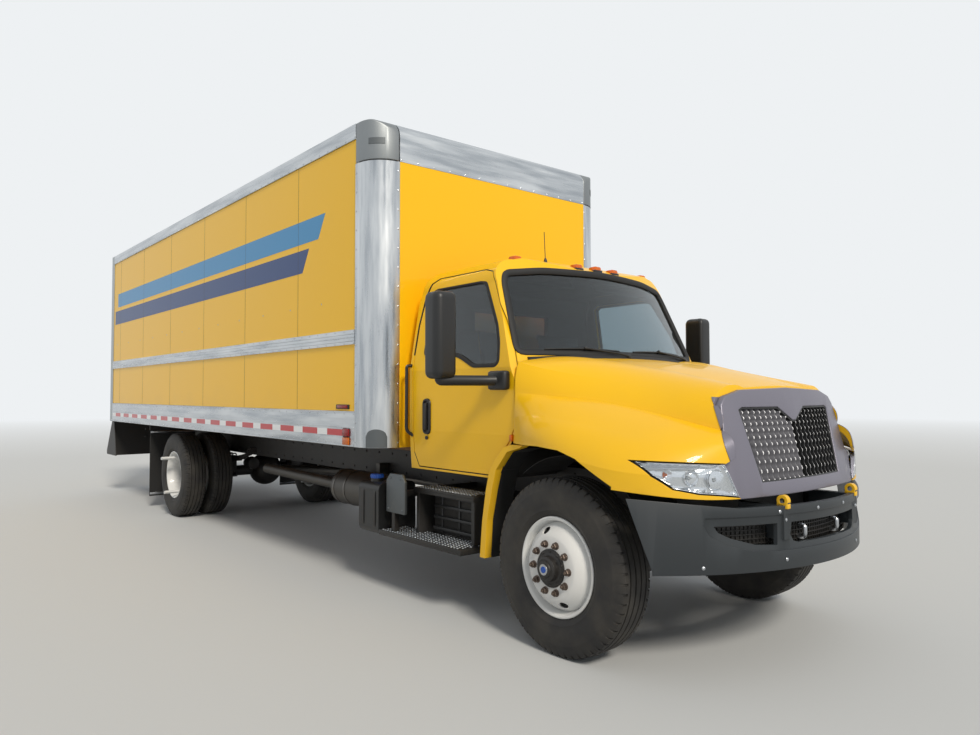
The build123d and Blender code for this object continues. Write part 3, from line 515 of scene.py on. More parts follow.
def touch(node, start, direction):
    """Where a line from a place first meets a built piece, and the direction out of its surface there."""
    mesh = frame["nodes"][node].data
    tree = BVHTree.FromPolygons([v.co for v in mesh.vertices], [list(p.vertices) for p in mesh.polygons])
    place, out, _, _ = tree.ray_cast(Vector(start), Vector(direction))
    if place is None:
        raise RuntimeError(f"the line meets nothing of {node}")
    return place, out


def skin(name, node, keep, body, material, lift=3.0, cuts=()):
    """A thin lining on the faces of a built piece that a test of centre and normal keeps, lifted off
    them. Cuts are planes, each a place and the direction of what stays."""
    bm = bmesh.new()
    bm.from_mesh(frame["nodes"][node].data)
    bmesh.ops.remove_doubles(bm, verts=bm.verts, dist=0.02 * MM)
    bmesh.ops.dissolve_limit(bm, angle_limit=math.radians(0.6), verts=bm.verts, edges=bm.edges)
    for place, stays in cuts:
        parts = [*bm.verts, *bm.edges, *bm.faces]
        bmesh.ops.bisect_plane(bm, geom=parts, plane_co=place, plane_no=stays, clear_inner=True)
    others = [face for face in bm.faces if not keep(face.calc_center_median(), face.normal)]
    bmesh.ops.delete(bm, geom=others, context="FACES")
    bm.normal_update()
    for vert in bm.verts:
        vert.co += vert.normal * lift * MM
    bmesh.ops.solidify(bm, geom=bm.faces[:], thickness=(lift - 1) * MM)
    return piece(name, bm, body, material)


def on_drum(drum, y, z, back=0.0):
    """A place on a big leaning drum at a height, millimetres behind its face if asked, and the
    direction out of it. A drum is the x and z of its foot and head, and its radius."""
    (foot_x, foot_z), (head_x, head_z), radius = drum
    lean = (head_x - foot_x) / (head_z - foot_z)
    turn = math.asin(y / radius)
    slope = math.sqrt(1 + lean ** 2)
    x = foot_x + lean * (z - foot_z) - radius * (1 - math.cos(turn)) * slope - back
    out = Vector((math.cos(turn) / slope, math.sin(turn), -lean / slope * math.cos(turn))).normalized()
    return at(x, y, z), out


def columns(bm, rows):
    """A sheet with thickness, made of upright columns: each row holds a column's four corners."""
    rings = [[bm.verts.new(corner) for corner in row] for row in rows]
    for one, other in zip(rings, rings[1:]):
        for k in range(4):
            bm.faces.new((one[k], one[(k + 1) % 4], other[(k + 1) % 4], other[k]))
    bm.faces.new(rings[0])
    bm.faces.new(rings[-1])


# Wheels

# Half of a tyre's section, from the middle of the tread to the bead: across, radius, depth of the
# shoulder's cross cuts there, all in millimetres
TYRE_SECTION = (
    (16.5, 527, 0), (18, 514, 0), (26, 514, 0), (27.5, 526.6, 0), (60.5, 525.8, 0), (62, 512, 0),
    (70, 512, 0), (71.5, 525.4, 0), (84, 524.4, 0), (86, 524.2, 9), (103, 522.5, 9), (110, 517, 8),
    (120, 499, 4), (127, 478, 0), (132, 457, 0), (134.2, 454, 0), (134.8, 449, 0), (135, 444, 0),
    (138.4, 418, 0),
    (139.3, 398, 0), (136.8, 368, 0), (131, 342, 0), (131.6, 336, 0), (128.5, 330, 0), (118, 312, 0),
    (108, 300, 0), (101, 292, 0), (98, 286.5, 0),
)


def tyre(bm, x, y, cuts):
    """A highway tyre with five ribs, cross cuts in its shoulders and rings on its sidewalls."""
    section = [(-a, r, cut_depth) for a, r, cut_depth in TYRE_SECTION[::-1]] + list(TYRE_SECTION)
    pitch = 2 * math.pi / cuts
    rings = []
    for k in range(cuts):
        # Share of the pitch, and whether the ring lies in a cut
        for share, in_cut in ((0.0, 0), (0.74, 0), (0.77, 1), (0.97, 1)):
            angle = (k + share) * pitch
            ring = []
            for a, radius, cut_depth in section:
                r = (radius - cut_depth * in_cut) * MM
                ring.append(bm.verts.new((x + r * math.cos(angle), y + a * MM, AXLE.z + r * math.sin(angle))))
            rings.append(ring)
    for one, other in zip(rings, rings[1:] + rings[:1]):
        for k in range(len(section)):
            j = (k + 1) % len(section)
            bm.faces.new((one[k], one[j], other[j], other[k]))


# Wheel sections from outside in: distance outwards from the wheel's middle and radius, millimetres
BAND_HALF = ((57, 266), (82, 284), (104, 285), (106, 296), (110, 298.5), (116, 296), (118, 289), (114, 280),
             (106, 274), (79, 271), (55, 257))
FRONT_DISC = ((155, 112), (155, 178), (151, 190), (138, 208), (118, 226), (94, 244), (64, 261),
              (51, 258), (81, 242), (106, 224), (127, 206), (140, 190), (144, 176), (144, 112))
REAR_DISC = ((-156, 112), (-156, 176), (-150, 190), (-128, 206), (-98, 222), (-72, 242), (-50, 259),
             (-62, 259), (-84, 242), (-110, 222), (-140, 206), (-162, 190), (-168, 176), (-168, 112))
HAND_HOLE_ANGLES = (108.8, 288.8)
HAND_HOLE_RADIUS = 0.219
STUDS = 10
STUD_CIRCLE = 0.1429


def scaled(profile):
    return [(along * MM, radius * MM) for along, radius in profile]


def on_wheel(x, y, angle, radius):
    """A point on a wheel's face, at an angle in degrees up from forward."""
    turn = math.radians(angle)
    return Vector((x + radius * math.cos(turn), y, AXLE.z + radius * math.sin(turn)))


def disc_wheel(name, x, y, out, disc, body, replaced=()):
    """A pressed steel disc welded in a rolled band, with two oval hand holes."""
    bm = bmesh.new()
    band = [(-a, r) for a, r in BAND_HALF[::-1]] + list(BAND_HALF)
    for profile in (band, disc):
        lathe(bm, scaled(profile), (x, y, AXLE.z), (0, out, 0), 96, closed=True)
    wheel = piece(name, bm, body, "White wheel enamel", replaced)
    holes = bmesh.new()
    for angle in HAND_HOLE_ANGLES:
        spoke = on_wheel(x, y, angle, 1.0) - Vector((x, y, AXLE.z))
        side = Vector((-spoke.z, 0, spoke.x))
        middle = on_wheel(x, y - 0.25, angle, HAND_HOLE_RADIUS)
        oval = []
        for k in range(24):
            turn = 2 * math.pi * k / 24
            oval.append(middle + spoke * 0.019 * math.sin(turn) + side * 0.031 * math.cos(turn))
        prism(holes, oval, (0, 0.5, 0))
    cut(wheel, holes)
    return wheel


# Hubs from inside out: distance outwards from the wheel's middle and radius, millimetres
FRONT_WHEEL_Y = 985
REAR_WHEEL_Y = (1098, 762)
FRONT_HUB = ((0, 112), (161, 112), (163, 106), (163, 94), (167, 88), (169, 76), (199, 72), (203, 66),
             (207, 60), (207, 51), (215, 48), (217, 44), (217, 0))
OIL_WINDOW = ((216, 33), (219, 32), (219, 0))
OIL_PLUG = ((218, 20), (222, 18.5), (222, 0))
REAR_HUB = ((-185, 112), (-150, 112), (-147, 106), (-147, 100), (-52, 97), (-48, 92), (-45, 88), (-45, 80),
            (-36, 76), (-33, 70), (-33, 0))
REAR_DRUM = ((-182, 120), (-182, 190), (-187, 195), (-318, 195), (-318, 150))
HUB_BOLTS = 8


def wheel_nuts(bm, x, face, side):
    """Ten flange nuts round a wheel's face, each on its stud."""
    for k in range(STUDS):
        place = on_wheel(x, side * face * MM, 360 * k / STUDS, STUD_CIRCLE)
        hex_nut(bm, place, (0, side, 0), 0.033, 0.026, start=k)


def front_wheel(name, side, cuts):
    x, y = AXLE.x, side * FRONT_WHEEL_Y * MM
    body = f"wheel_front_{name}"
    middle, outwards = (x, y, AXLE.z), (0, side, 0)
    bm = bmesh.new()
    tyre(bm, x, y, cuts)
    piece(f"front_tread_{name}", bm, body, "Tyre rubber", [f"front_tyre_{name}"])
    disc_wheel(f"front_disc_{name}", x, y, side, FRONT_DISC, body, [f"front_rim_{name}"])
    bm = bmesh.new()
    lathe(bm, scaled(FRONT_HUB), middle, outwards, 40)
    for k in range(STUDS):
        place = on_wheel(x, y + side * 163 * MM, 360 * (k + 0.5) / STUDS, 0.1)
        fastener(bm, place, outwards, 0.007, 0.006)
    piece(f"front_hub_{name}", bm, body, "Hub enamel")
    bm = bmesh.new()
    wheel_nuts(bm, x, FRONT_WHEEL_Y + 155, side)
    piece(f"front_nuts_{name}", bm, body, "Browned steel")
    bm = bmesh.new()
    lathe(bm, scaled(OIL_WINDOW), middle, outwards, 24)
    piece(f"oil_window_{name}", bm, body, "Zinc plate")
    bm = bmesh.new()
    lathe(bm, scaled(OIL_PLUG), middle, outwards, 24)
    piece(f"oil_plug_{name}", bm, body, "Blue moulding")


def rear_wheels(name, side, cuts):
    x = REAR_AXLE_X
    body = f"wheel_rear_{name}"
    outer, inner = [side * y * MM for y in REAR_WHEEL_Y]
    bm = bmesh.new()
    tyre(bm, x, outer, cuts)
    tyre(bm, x, inner, cuts)
    piece(f"rear_treads_{name}", bm, body, "Tyre rubber", [f"rear_tyres_{name}"])
    disc_wheel(f"rear_outer_disc_{name}", x, outer, side, REAR_DISC, body,
               [f"rear_rims_{name}"])
    disc_wheel(f"rear_inner_disc_{name}", x, inner, -side, REAR_DISC, body)
    middle, outwards = (x, outer, AXLE.z), (0, side, 0)
    bm = bmesh.new()
    lathe(bm, scaled(REAR_HUB), middle, outwards, 40)
    lathe(bm, scaled(REAR_DRUM), middle, outwards, 48)
    for k in range(HUB_BOLTS):
        place = on_wheel(x, outer - side * 37 * MM, 360 * k / HUB_BOLTS, 0.058)
        hex_nut(bm, place, outwards, 0.019, 0.010)
    piece(f"rear_hub_{name}", bm, body, "Hub enamel")
    bm = bmesh.new()
    wheel_nuts(bm, x, REAR_WHEEL_Y[0] - 156, side)
    piece(f"rear_nuts_{name}", bm, body, "Browned steel")


# Nose

GRILLE_DRUM = ((1010, 985), (870, 1575), 3600)
GRILLE_OUTLINE = ((448, 1062), (512, 1462), (480, 1475), (150, 1475), (18, 1396))
GRILLE_PITCH = 50
GRILLE_BARS = 10
# A bar's bumps are this far apart at the top of the grille, and spread by this share towards its foot
BUMP_PITCH = 28
BUMP_SPREAD = 1.07


def grille_span(y):
    """Lowest and highest point of the grille at a distance from the truck's middle."""
    (side_y, foot), (wide, shoulder), (corner, top), (notch_y, notch_z), (point_y, point_z) = GRILLE_OUTLINE
    low = foot + max(0, abs(y) - side_y) * (shoulder - foot) / (wide - side_y)
    high = min(top, point_z + (abs(y) - point_y) * (notch_z - point_z) / (notch_y - point_y))
    return low, high


def bump(z):
    """How far a bar stands out at a height, from 0 to 1."""
    (low, high) = (GRILLE_OUTLINE[0][1], GRILLE_OUTLINE[2][1])
    share = (high - z) / (high - low)
    turns = (high - low) / (BUMP_PITCH * BUMP_SPREAD) * math.log(1 + BUMP_SPREAD * share)
    return 0.5 + 0.5 * math.cos(2 * math.pi * turns)


def grille_bar(bm, y):
    """One upright blade, steep towards the middle and sloping outwards, its crest in a row of bumps. Its
    steep side is black as painted shade, and the tops of its bumps near white as painted highlights.
    """
    low, high = grille_span(y)
    out = 1 if y > 0 else -1
    count = int((high - low) / 5)
    rings = []
    for k in range(count + 1):
        z = low + 2 + (high - low - 4) * k / count
        swell = bump(z)
        # Distance outwards from the bar's middle, and depth behind the surround's face
        corners = ((21, 42), (2.5 + 1.5 * swell, 16 - 8 * swell), (-2 - swell, 15 - 8 * swell), (-7, 42))
        rings.append([bm.verts.new(on_drum(GRILLE_DRUM, y + out * a, z, back)[0]) for a, back in corners])
    for one, other in zip(rings, rings[1:]):
        for k in range(4):
            face = bm.faces.new((one[k], one[(k + 1) % 4], other[(k + 1) % 4], other[k]))
            height = face.calc_center_median().z / MM
            # Painted shade: the steep side (face 2) is black. Painted highlights: the crest (face 1) is near
            # white where a bump stands out.
            face.material_index = 2 if k == 2 else int(k == 1 and bump(height) > 0.7)
    bm.faces.new(rings[0])
    bm.faces.new(rings[-1])


def grille():
    """The surround, the black panel in its opening, the blades and the black edge round them."""
    eased("surround_moulding", "grille_surround", "hood", "Silver moulding", 0.012,
          segments=3)
    middle = at(600, 0, 1250)
    for name, side in SIDES:
        edge = (at(872, side * 700, 1329), (0.8635, -side * 0.4122, 0.3198))
        skin(f"surround_return_{name}", "hood", lambda place, normal: normal.dot(place - middle) > 0, "hood",
             "Silver moulding", 4,
             [edge, (at(0, side * 590, 0), (0, side, 0)), (at(0, 0, 1532), (0, 0, -1))])
    bm = bmesh.new()
    for number in range(-GRILLE_BARS, GRILLE_BARS):
        grille_bar(bm, (number + 0.5) * GRILLE_PITCH)
    bars = piece("grille_blades", bm, "hood", "Grey satin moulding", ["grille"])
    # The blades' second finish is the painted highlight on the bumps' tops, the third the black painted shade
    # on the steep sides.
    for material in ("Painted highlight moulding", "Black moulding"):
        bars.data.materials.append(bpy.data.materials[material])
    bm = bmesh.new()
    stations = [-508, -480, -448, -300, -150, -75, -18, 18, 75, 150, 300, 448, 480, 508]
    rows = []
    for y in stations:
        low, high = grille_span(y)
        corners = ((low, 40), (high, 40), (high, 47), (low, 47))
        rows.append([on_drum(GRILLE_DRUM, y, z, back)[0] for z, back in corners])
    columns(bm, rows)
    opening = spaced(bend(mirrored(GRILLE_OUTLINE), 14, closed=True), 90)
    route = [on_drum(GRILLE_DRUM, y, z) for y, z in opening]
    strip(bm, route, [(1, -5), (-9, -7), (-9, -42), (1, -42)], closed=True)
    piece("grille_panel", bm, "hood", "Black moulding")


# y, z, radius of each headlamp bowl, and the finish of what stands in it
HEADLAMP_BOWLS = (
    (800, 1096, 58, "Clear lens"),
    (925, 1108, 48, "Clear lens"),
    (1020, 1128, 32, "Amber lens"),
)


def headlamps():
    """Each lamp's clear front, the silvered tray behind it, and the bowls and bulbs in the tray."""
    for name, material, front in (
        ("headlamp_fronts", "Lamp glass", True),
        ("headlamp_trays", "Silvered bowl", False),
    ):
        bm = bmesh.new()
        bm.from_mesh(frame["nodes"]["headlamps"].data)
        bmesh.ops.remove_doubles(bm, verts=bm.verts, dist=0.02 * MM)
        other = [face for face in bm.faces if (face.normal.x > 0.1) != front]
        bmesh.ops.delete(bm, geom=other, context="FACES")
        bmesh.ops.solidify(bm, geom=bm.faces[:], thickness=3 * MM)
        piece(name, bm, "hood", material, ["headlamps"] if front else [])
    for name, side in SIDES:
        bowls = bmesh.new()
        for number, (y, z, radius, bulb) in enumerate(HEADLAMP_BOWLS):
            face, out = touch("headlamps", at(2000, side * y, z), (-1, 0, 0))
            axis = (out + Vector((1, 0, 0)) * 1.5).normalized()
            mouth = face - axis * 16 * MM
            bowl = ((-0.80, 0), (-0.80, 0.3), (-0.5, 0.75), (0, 1.0), (0, 0.94), (-0.46, 0.68), (-0.7, 0.25),
                    (-0.72, 0))
            lathe(bowls, [(a * radius * MM, r * radius * MM) for a, r in bowl], mouth, axis, 28)
            bm = bmesh.new()
            shape = ((-0.70, 0.26), (-0.28, 0.24), (-0.12, 0.16), (-0.06, 0))
            lathe(bm, [(a * radius * MM, r * radius * MM) for a, r in shape], mouth, axis, 20)
            piece(f"headlamp_bulb_{name}_{number}", bm, "hood", bulb)
        piece(f"headlamp_bowls_{name}", bowls, "hood", "Silvered bowl")


# y, z of the bumper's bolts
BUMPER_BOLTS = ((455, 915), (412, 868), (410, 655), (880, 640), (150, 915))


def bumper():
    """The bumper's moulding, its bolts and the tow eyes' sleeves and pads."""
    eased("bumper_moulding", "front_bumper", "chassis", "Bumper moulding", 0.009)
    bm = bmesh.new()
    for y, z in BUMPER_BOLTS:
        for side in (-1, 1):
            place, out = touch("front_bumper", at(2000, side * y, z), (-1, 0, 0))
            fastener(bm, place, out, 0.010, 0.006, 10)
    piece("bumper_bolts", bm, "chassis", "Zinc plate")
    bm = bmesh.new()
    for side in (-1, 1):
        sleeve = ((-17, 15), (-17, 31), (-15, 33), (15, 33), (17, 31), (17, 15))
        lathe(bm, scaled(sleeve), at(1056, side * 402, 968), (0, 1, 0), 28, closed=True)
        beside(bm, side, 1023, 1089, 385, 419, 926, 955, 4)
    piece("tow_eye_sleeves", bm, "chassis", "Yellow enamel")


# The curve of the bumper's face seen from above: its radius, and its centre's x
BUMPER_RADIUS = 1545
BUMPER_CENTRE = -482


def bumper_x(y):
    """x of the bumper's face at a distance from the truck's middle."""
    return BUMPER_CENTRE + math.sqrt(BUMPER_RADIUS ** 2 - y ** 2)


def bumper_backing():
    """A black mesh guard close behind the bumper's openings, with tow hooks on its middle."""
    bm = bmesh.new()
    rows = []
    for k in range(-8, 9):
        y = 100 * k
        x = bumper_x(y)
        rows.append([at(x - 40, y, 690), at(x - 40, y, 890), at(x - 34, y, 890), at(x - 34, y, 690)])
    columns(bm, rows)
    for k in range(-31, 32):
        y = 25 * k
        x = bumper_x(y)
        block(bm, (x - 35, y - 3, 695), (x - 27, y + 3, 885), 1)
    for z in range(710, 890, 25):
        rows = []
        for k in range(-8, 9):
            y = 100 * k
            x = bumper_x(y)
            corners = ((x - 33, z - 3), (x - 33, z + 3), (x - 25, z + 3), (x - 25, z - 3))
            rows.append([at(corner_x, y, corner_z) for corner_x, corner_z in corners])
        columns(bm, rows)
    piece("bumper_guard", bm, "chassis", "Satin black enamel")
    bm = bmesh.new()
    for y in (-190, 190):
        hook = bend([at(1020, y, 745), at(1065, y, 745), at(1065, y, 812), at(1030, y, 812)], 0.03)
        tube(bm, hook, 0.012, 10)
    piece("tow_hooks", bm, "chassis", "Zinc plate")


LINER_RADIUS = 648


def wheel_liners():
    """Black splash liners in the wheel arches, under the hood, and black sheets as painted shade over the
    hood's yellow inner faces and the wheel wells' walls.
    """
    bm = bmesh.new()
    for side in (-1, 1):
        rows = []
        for angle in range(28, 133, 5):
            spoke = Vector((math.cos(math.radians(angle)), 0, math.sin(math.radians(angle))))
            inner, outer = LINER_RADIUS, LINER_RADIUS + 4
            corners = ((inner, 990), (inner, 620), (outer, 620), (outer, 990))
            rows.append([at(0, side * y, 527) + spoke * radius * MM for radius, y in corners])
        columns(bm, rows)
    piece("wheel_liners", bm, "hood", "Moulded rubber sheet")
    # Painted shade: a black skin over the hood's inner faces, whose yellow paint lies in shade inside the
    # arches.
    skin("hood_inside_painted_shade", "hood", lambda place, normal: normal.dot(place - at(300, 0, 700)) < 0
         and (abs(normal.y) > 0.05 or abs(place.y) < 0.6) and abs(normal.x) < 0.9
         and place.x < at(740, 0, 0).x, "hood", "Moulded rubber sheet", 3)
    # The wheel well's wall along the front of the cab's flank, x and z: a black strip on it is painted shade
    edge = ((-704, 457), (-683, 712), (-631, 916), (-589, 1050), (-480, 1172), (-358, 1205))
    bm = bmesh.new()
    for side in (-1, 1):
        rows = []
        for x, z in edge:
            corners = ((x, 860, z), (x, 1010, z), (x + 4, 1010, z - 2), (x + 4, 860, z - 2))
            rows.append([at(corner_x, side * y, corner_z) for corner_x, y, corner_z in corners])
        columns(bm, rows)
    piece("wheel_well_painted_shade", bm, "chassis", "Moulded rubber sheet")


# Cab

SCREEN_DRUM = ((-300, 1806), (-622, 2470), 2800)
SCREEN = ((958, 1826), (884, 2330), (852, 2404), (560, 2440), (0, 2455))
# x, z of a door's window, from its lower rear corner
DOOR_WINDOW = (
    (-1478, 1850), (-1478, 2320), (-1430, 2352), (-905, 2352), (-850, 2335), (-668, 2020), (-628, 1900),
    (-612, 1770), (-640, 1745), (-876, 1747), (-1020, 1812), (-1110, 1838),
)
# z, half width of the cab's side
CAB_FLANK = ((980, 1010), (1280, 1030), (1730, 1030), (2000, 985), (2330, 928), (2440, 895))
# x, y, z of the middle of each roof lamp
ROOF_LAMPS = ((-668, 0, 2500), (-675, 200, 2497), (-675, -200, 2497), (-800, 700, 2520), (-800, -700, 2520))


def on_flank(x, z, side):
    """A place on the cab's side, and the direction out of it."""
    for (z0, y0), (z1, y1) in zip(CAB_FLANK, CAB_FLANK[1:]):
        if z <= z1:
            slope = (y1 - y0) / (z1 - z0)
            return at(x, side * (y0 + (z - z0) * slope), z), Vector((0, side, -slope)).normalized()
    raise RuntimeError("too high on the cab's side")


def flank_route(outline, side, corner):
    """A closed outline of (x, z) points laid on the cab's side."""
    points = spaced(bend(outline, corner, closed=True), 90)
    if side > 0:
        points.reverse()
    return [on_flank(x, z, side) for x, z in points]


def screen_seals():
    """The windscreen's gasket, the cowl under it, and the gaskets of the rear and door windows."""
    bm = bmesh.new()
    route = [on_drum(SCREEN_DRUM, y, z) for y, z in spaced(bend(mirrored(SCREEN), 60, closed=True), 90)]
    section = [(20, -3), (17, 6), (4, 11), (-18, 7), (-30, -3), (-30, -14), (-4, -14), (-4, -3)]
    strip(bm, route, section, closed=True)
    cowl = [on_drum(SCREEN_DRUM, y, 1806 - 26 * (y / 900) ** 2) for y in range(900, -901, -100)]
    strip(bm, cowl, [(26, -13), (22, -3), (6, 22), (-20, 34), (-44, 34), (-44, -13)])
    rear = [(-430, 1870), (-430, 2240), (430, 2240), (430, 1870)]
    route = [(at(-1655, y, z), Vector((-1, 0, 0))) for y, z in bend(rear, 40, closed=True)]
    strip(bm, route, [(-14, -2), (-10, 6), (10, 6), (16, -14), (10, -14), (4, -2)], closed=True)
    piece("screen_gaskets", bm, "chassis", "Gasket rubber")
    for name, side in SIDES:
        bm = bmesh.new()
        strip(bm, flank_route(DOOR_WINDOW, side, 30),
              [(-15, -2), (-12, 4), (1, 6), (13, 2), (17, -10), (17, -15), (2, -15), (2, -2)], closed=True)
        piece(f"door_gasket_{name}", bm, f"door_{name}", "Gasket rubber")


def wipers():
    """Two wipers parked along the foot of the windscreen."""
    bm = bmesh.new()
    # y of the blade's ends and of the pivot
    for start, end, pivot in ((-760, -130, -80), (20, 660, 720)):
        low = 1846
        blade = [on_drum(SCREEN_DRUM, start + (end - start) * k / 8, low + 10 * math.sin(math.pi * k / 8), 14)
                 for k in range(9)]
        strip(bm, blade, [(-3, 1), (-7, 12), (-4, 22), (4, 22), (7, 12), (3, 1)])
        middle = blade[4][0] + blade[4][1] * 26 * MM
        foot, out = on_drum(SCREEN_DRUM, pivot, 1802)
        lathe(bm, [(-0.01, 0.022), (0.036, 0.020), (0.042, 0.014)], foot, out, 16)
        knee = on_drum(SCREEN_DRUM, (pivot * 3 + start + (end - start) / 2) / 4, 1820)[0] + out * 34 * MM
        tube(bm, [foot + out * 38 * MM, knee, middle], 0.007, 8)
        lathe(bm, [(-0.02, 0.012), (0.008, 0.012), (0.012, 0.006)], middle, out, 10)
    piece("wipers", bm, "chassis", "Black moulding")


def roof_fittings():
    """Amber lamps across the roof's brow, each on a black foot, and the aerial."""
    lenses, feet = bmesh.new(), bmesh.new()
    for x, y, z in ROOF_LAMPS:
        block(lenses, (x - 38, y - 36, z - 40), (x + 38, y + 36, z + 20), 15)
        block(feet, (x - 44, y - 41, z - 44), (x + 42, y + 41, z - 8), 6)
    piece("roof_lamps", lenses, "chassis", "Amber lens", ["body_lamps"])
    bm = feet
    foot = (-740, -455, 2516)
    lathe(bm, [(-0.02, 0.016), (0.012, 0.013), (0.03, 0.006)], at(*foot), (0, 0, 1), 14)
    tube(bm, [at(*foot), at(-752, -455, 2740)], 0.003, 6)
    piece("aerial_and_lamp_feet", bm, "chassis", "Black moulding")


# Right mirror's housing: x, |y| in plan, and heights with how far the outline draws in there
MIRROR_PLAN = ((-815, 1345), (-815, 1462), (-790, 1496), (-680, 1502), (-640, 1475), (-640, 1345))
MIRROR_RISE = ((1650, 46), (1654, 28), (1664, 12), (1680, 3), (1700, 0), (2165, 0), (2185, 3), (2201, 12),
               (2211, 28), (2215, 46))


def mirror_housing(bm, side):
    """A rounded housing on a thick bent arm from its foot on the door's corner."""
    plan = spaced(bend(MIRROR_PLAN, 28, closed=True), 40)
    middle = sum(plan, Vector((0, 0))) / len(plan)
    rings = []
    for z, draw in MIRROR_RISE:
        ring = []
        for point in plan:
            out = point - middle
            x, y = point - out.normalized() * min(draw, out.length * 0.8)
            ring.append(bm.verts.new(at(x, side * y, z)))
        rings.append(ring)
    for one, other in zip(rings, rings[1:]):
        for k in range(len(one)):
            bm.faces.new((one[k], one[k - 1], other[k - 1], other[k]))
    bm.faces.new(rings[0])
    bm.faces.new(rings[-1])
    arm = bend([at(-560, side * 1050, 1642), at(-600, side * 1130, 1640), at(-712, side * 1430, 1640),
                at(-712, side * 1432, 1670)], 0.05)
    tube(bm, arm, 0.034, 16)
    beside(bm, side, -650, -475, 1031, 1090, 1578, 1705, 18)


def door_fittings(name, side):
    """A door's handle, its mirror and the mirror's panes."""
    body = f"door_{name}"
    bm = bmesh.new()
    oval = [(-1459, 1262), (-1459, 1508), (-1385, 1508), (-1385, 1262)]
    strip(bm, flank_route(oval, side, 34), [(-12, -1), (-8, 12), (4, 13), (9, 3), (9, -1)], closed=True)
    beside(bm, side, -1455, -1389, 1028, 1032, 1268, 1502, 1.5)
    beside(bm, side, -1437, -1407, 1040, 1058, 1285, 1485, 8)
    beside(bm, side, -1437, -1407, 1028, 1050, 1285, 1315, 6)
    beside(bm, side, -1437, -1407, 1028, 1050, 1455, 1485, 6)
    lathe(bm, [(0, 0.014), (0.01, 0.014), (0.012, 0.011)], at(-1422, side * 1030, 1226), (0, side, 0), 16)
    piece(f"door_handle_{name}", bm, body, "Black moulding")
    bm = bmesh.new()
    mirror_housing(bm, side)
    piece(f"mirror_housing_{name}", bm, body, "Black moulding", [f"mirror_{name}"],
          sharp=50)
    bm = bmesh.new()
    beside(bm, side, -819, -811, 1362, 1464, 1872, 2180, 2.5)
    beside(bm, side, -819, -811, 1362, 1464, 1688, 1850, 2.5)
    piece(f"mirror_panes_{name}", bm, body, "Silvered glass")


def cab_fittings():
    """The side markers at the hood's seam, and the grab bars behind the doors."""
    markers, bars = bmesh.new(), bmesh.new()
    for side in (-1, 1):
        beside(markers, side, -460, -434, 1026, 1064, 1246, 1290, 8)
        bar = bend([at(-1640, side * 1020, 1770), at(-1640, side * 1068, 1770), at(-1640, side * 1070, 1270),
                    at(-1622, side * 1020, 1235)], 0.03)
        tube(bars, bar, 0.013, 10)
    piece("side_markers", markers, "chassis", "Amber lens")
    piece("grab_bars", bars, "chassis", "Black moulding")


# Cargo box

BOX_HALF = 1295.5
PANEL_Y = 1286.5
BOX_FRONT = -1762
BOX_REAR = -9687
TAIL_X = -10050
PANEL_SPAN = (-9556, -2040)
POST_CENTRE = (-1987, 1070.5)
POST_RADIUS = 225
# x of the seams between the side's panels
SEAMS = [-3075 - 1219.2 * k for k in range(6)]
# Lengths of red and of white along the tape
TAPE = (("Red tape", 0.279, 0.0), ("White tape", 0.178, 0.279))


def rivet_rows(pitch, radius):
    """Rivets along the top rails, lower rails, header and both edges of the posts."""
    bm = bmesh.new()
    rear, front = PANEL_SPAN
    count = round((front - rear) * MM / pitch)
    for side in (-1, 1):
        out = (0, side, 0)
        for k in range(count + 1):
            x = rear + (front - rear - 20) * k / count + 10
            for y, z in ((BOX_HALF, 3606), (BOX_HALF, 1395), (BOX_HALF, 1158), (BOX_HALF + 4, 2054),
                         (BOX_HALF + 4, 1958)):
                fastener(bm, at(x, side * y, z), out, radius, radius * 0.5, 6)
        for k in range(12):
            fastener(bm, at(-2620 - 609.6 * k, side * PANEL_Y, 2318), out, radius, radius * 0.4, 6)
        for k in range(15):
            z = 1175 + 152.4 * k
            fastener(bm, at(-2024, side * BOX_HALF, z), out, radius, radius * 0.5, 6)
            fastener(bm, at(BOX_FRONT, side * 1068, z), (1, 0, 0), radius, radius * 0.5, 6)
    for k in range(14):
        fastener(bm, at(BOX_FRONT, -1040 + 160 * k, 3402), (1, 0, 0), radius, radius * 0.5, 6)
    return piece("box_rivets", bm, "chassis", "Zinc plate")


def on_post(side, angle, z, out=0.0):
    """A place on a post's rounded corner, at an angle in degrees from straight ahead."""
    turn = math.radians(angle)
    x, y = POST_CENTRE
    radius = POST_RADIUS + out
    return at(x + radius * math.cos(turn), side * (y + radius * math.sin(turn)), z)


def post_patch(bm, side, angles, foot, top, thick):
    """A thin plate bent round a post's corner. The top is a function of its place across, -1 to 1."""
    start, end = angles
    rows = []
    for k in range(13):
        angle = start + (end - start) * k / 12
        high = top(k / 6 - 1)
        corners = ((foot, 0), (high, 0), (high, thick), (foot, thick))
        rows.append([on_post(side, angle, z, out) for z, out in corners])
    columns(bm, rows)


def posts_and_caps():
    """The corner castings with their blank plates, and the arched step plates at the posts' feet. The plates
    are darkened aluminium, painted shade standing for recesses in the castings.
    """
    eased("corner_castings", "corner_caps", "chassis", "Cast aluminium", 0.012, segments=3)
    bm, brows = bmesh.new(), bmesh.new()
    for side in (-1, 1):
        post_patch(bm, side, (28, 62), 3513, lambda u: 3563, 2.5)
        post_patch(bm, side, (22, 66), 1137, lambda u: 1222 + 58 * math.sqrt(max(0, 1 - u * u)), 1.5)
        post_patch(brows, side, (2, 88), 3384, lambda u: 3391, 1.2)
    # Painted shade: the plates are a darkened aluminium that stands for shaded recesses in the castings.
    piece("post_plates", bm, "chassis", "Aluminium darkened as painted shade")
    piece("casting_joints", brows, "chassis", "Gasket rubber")


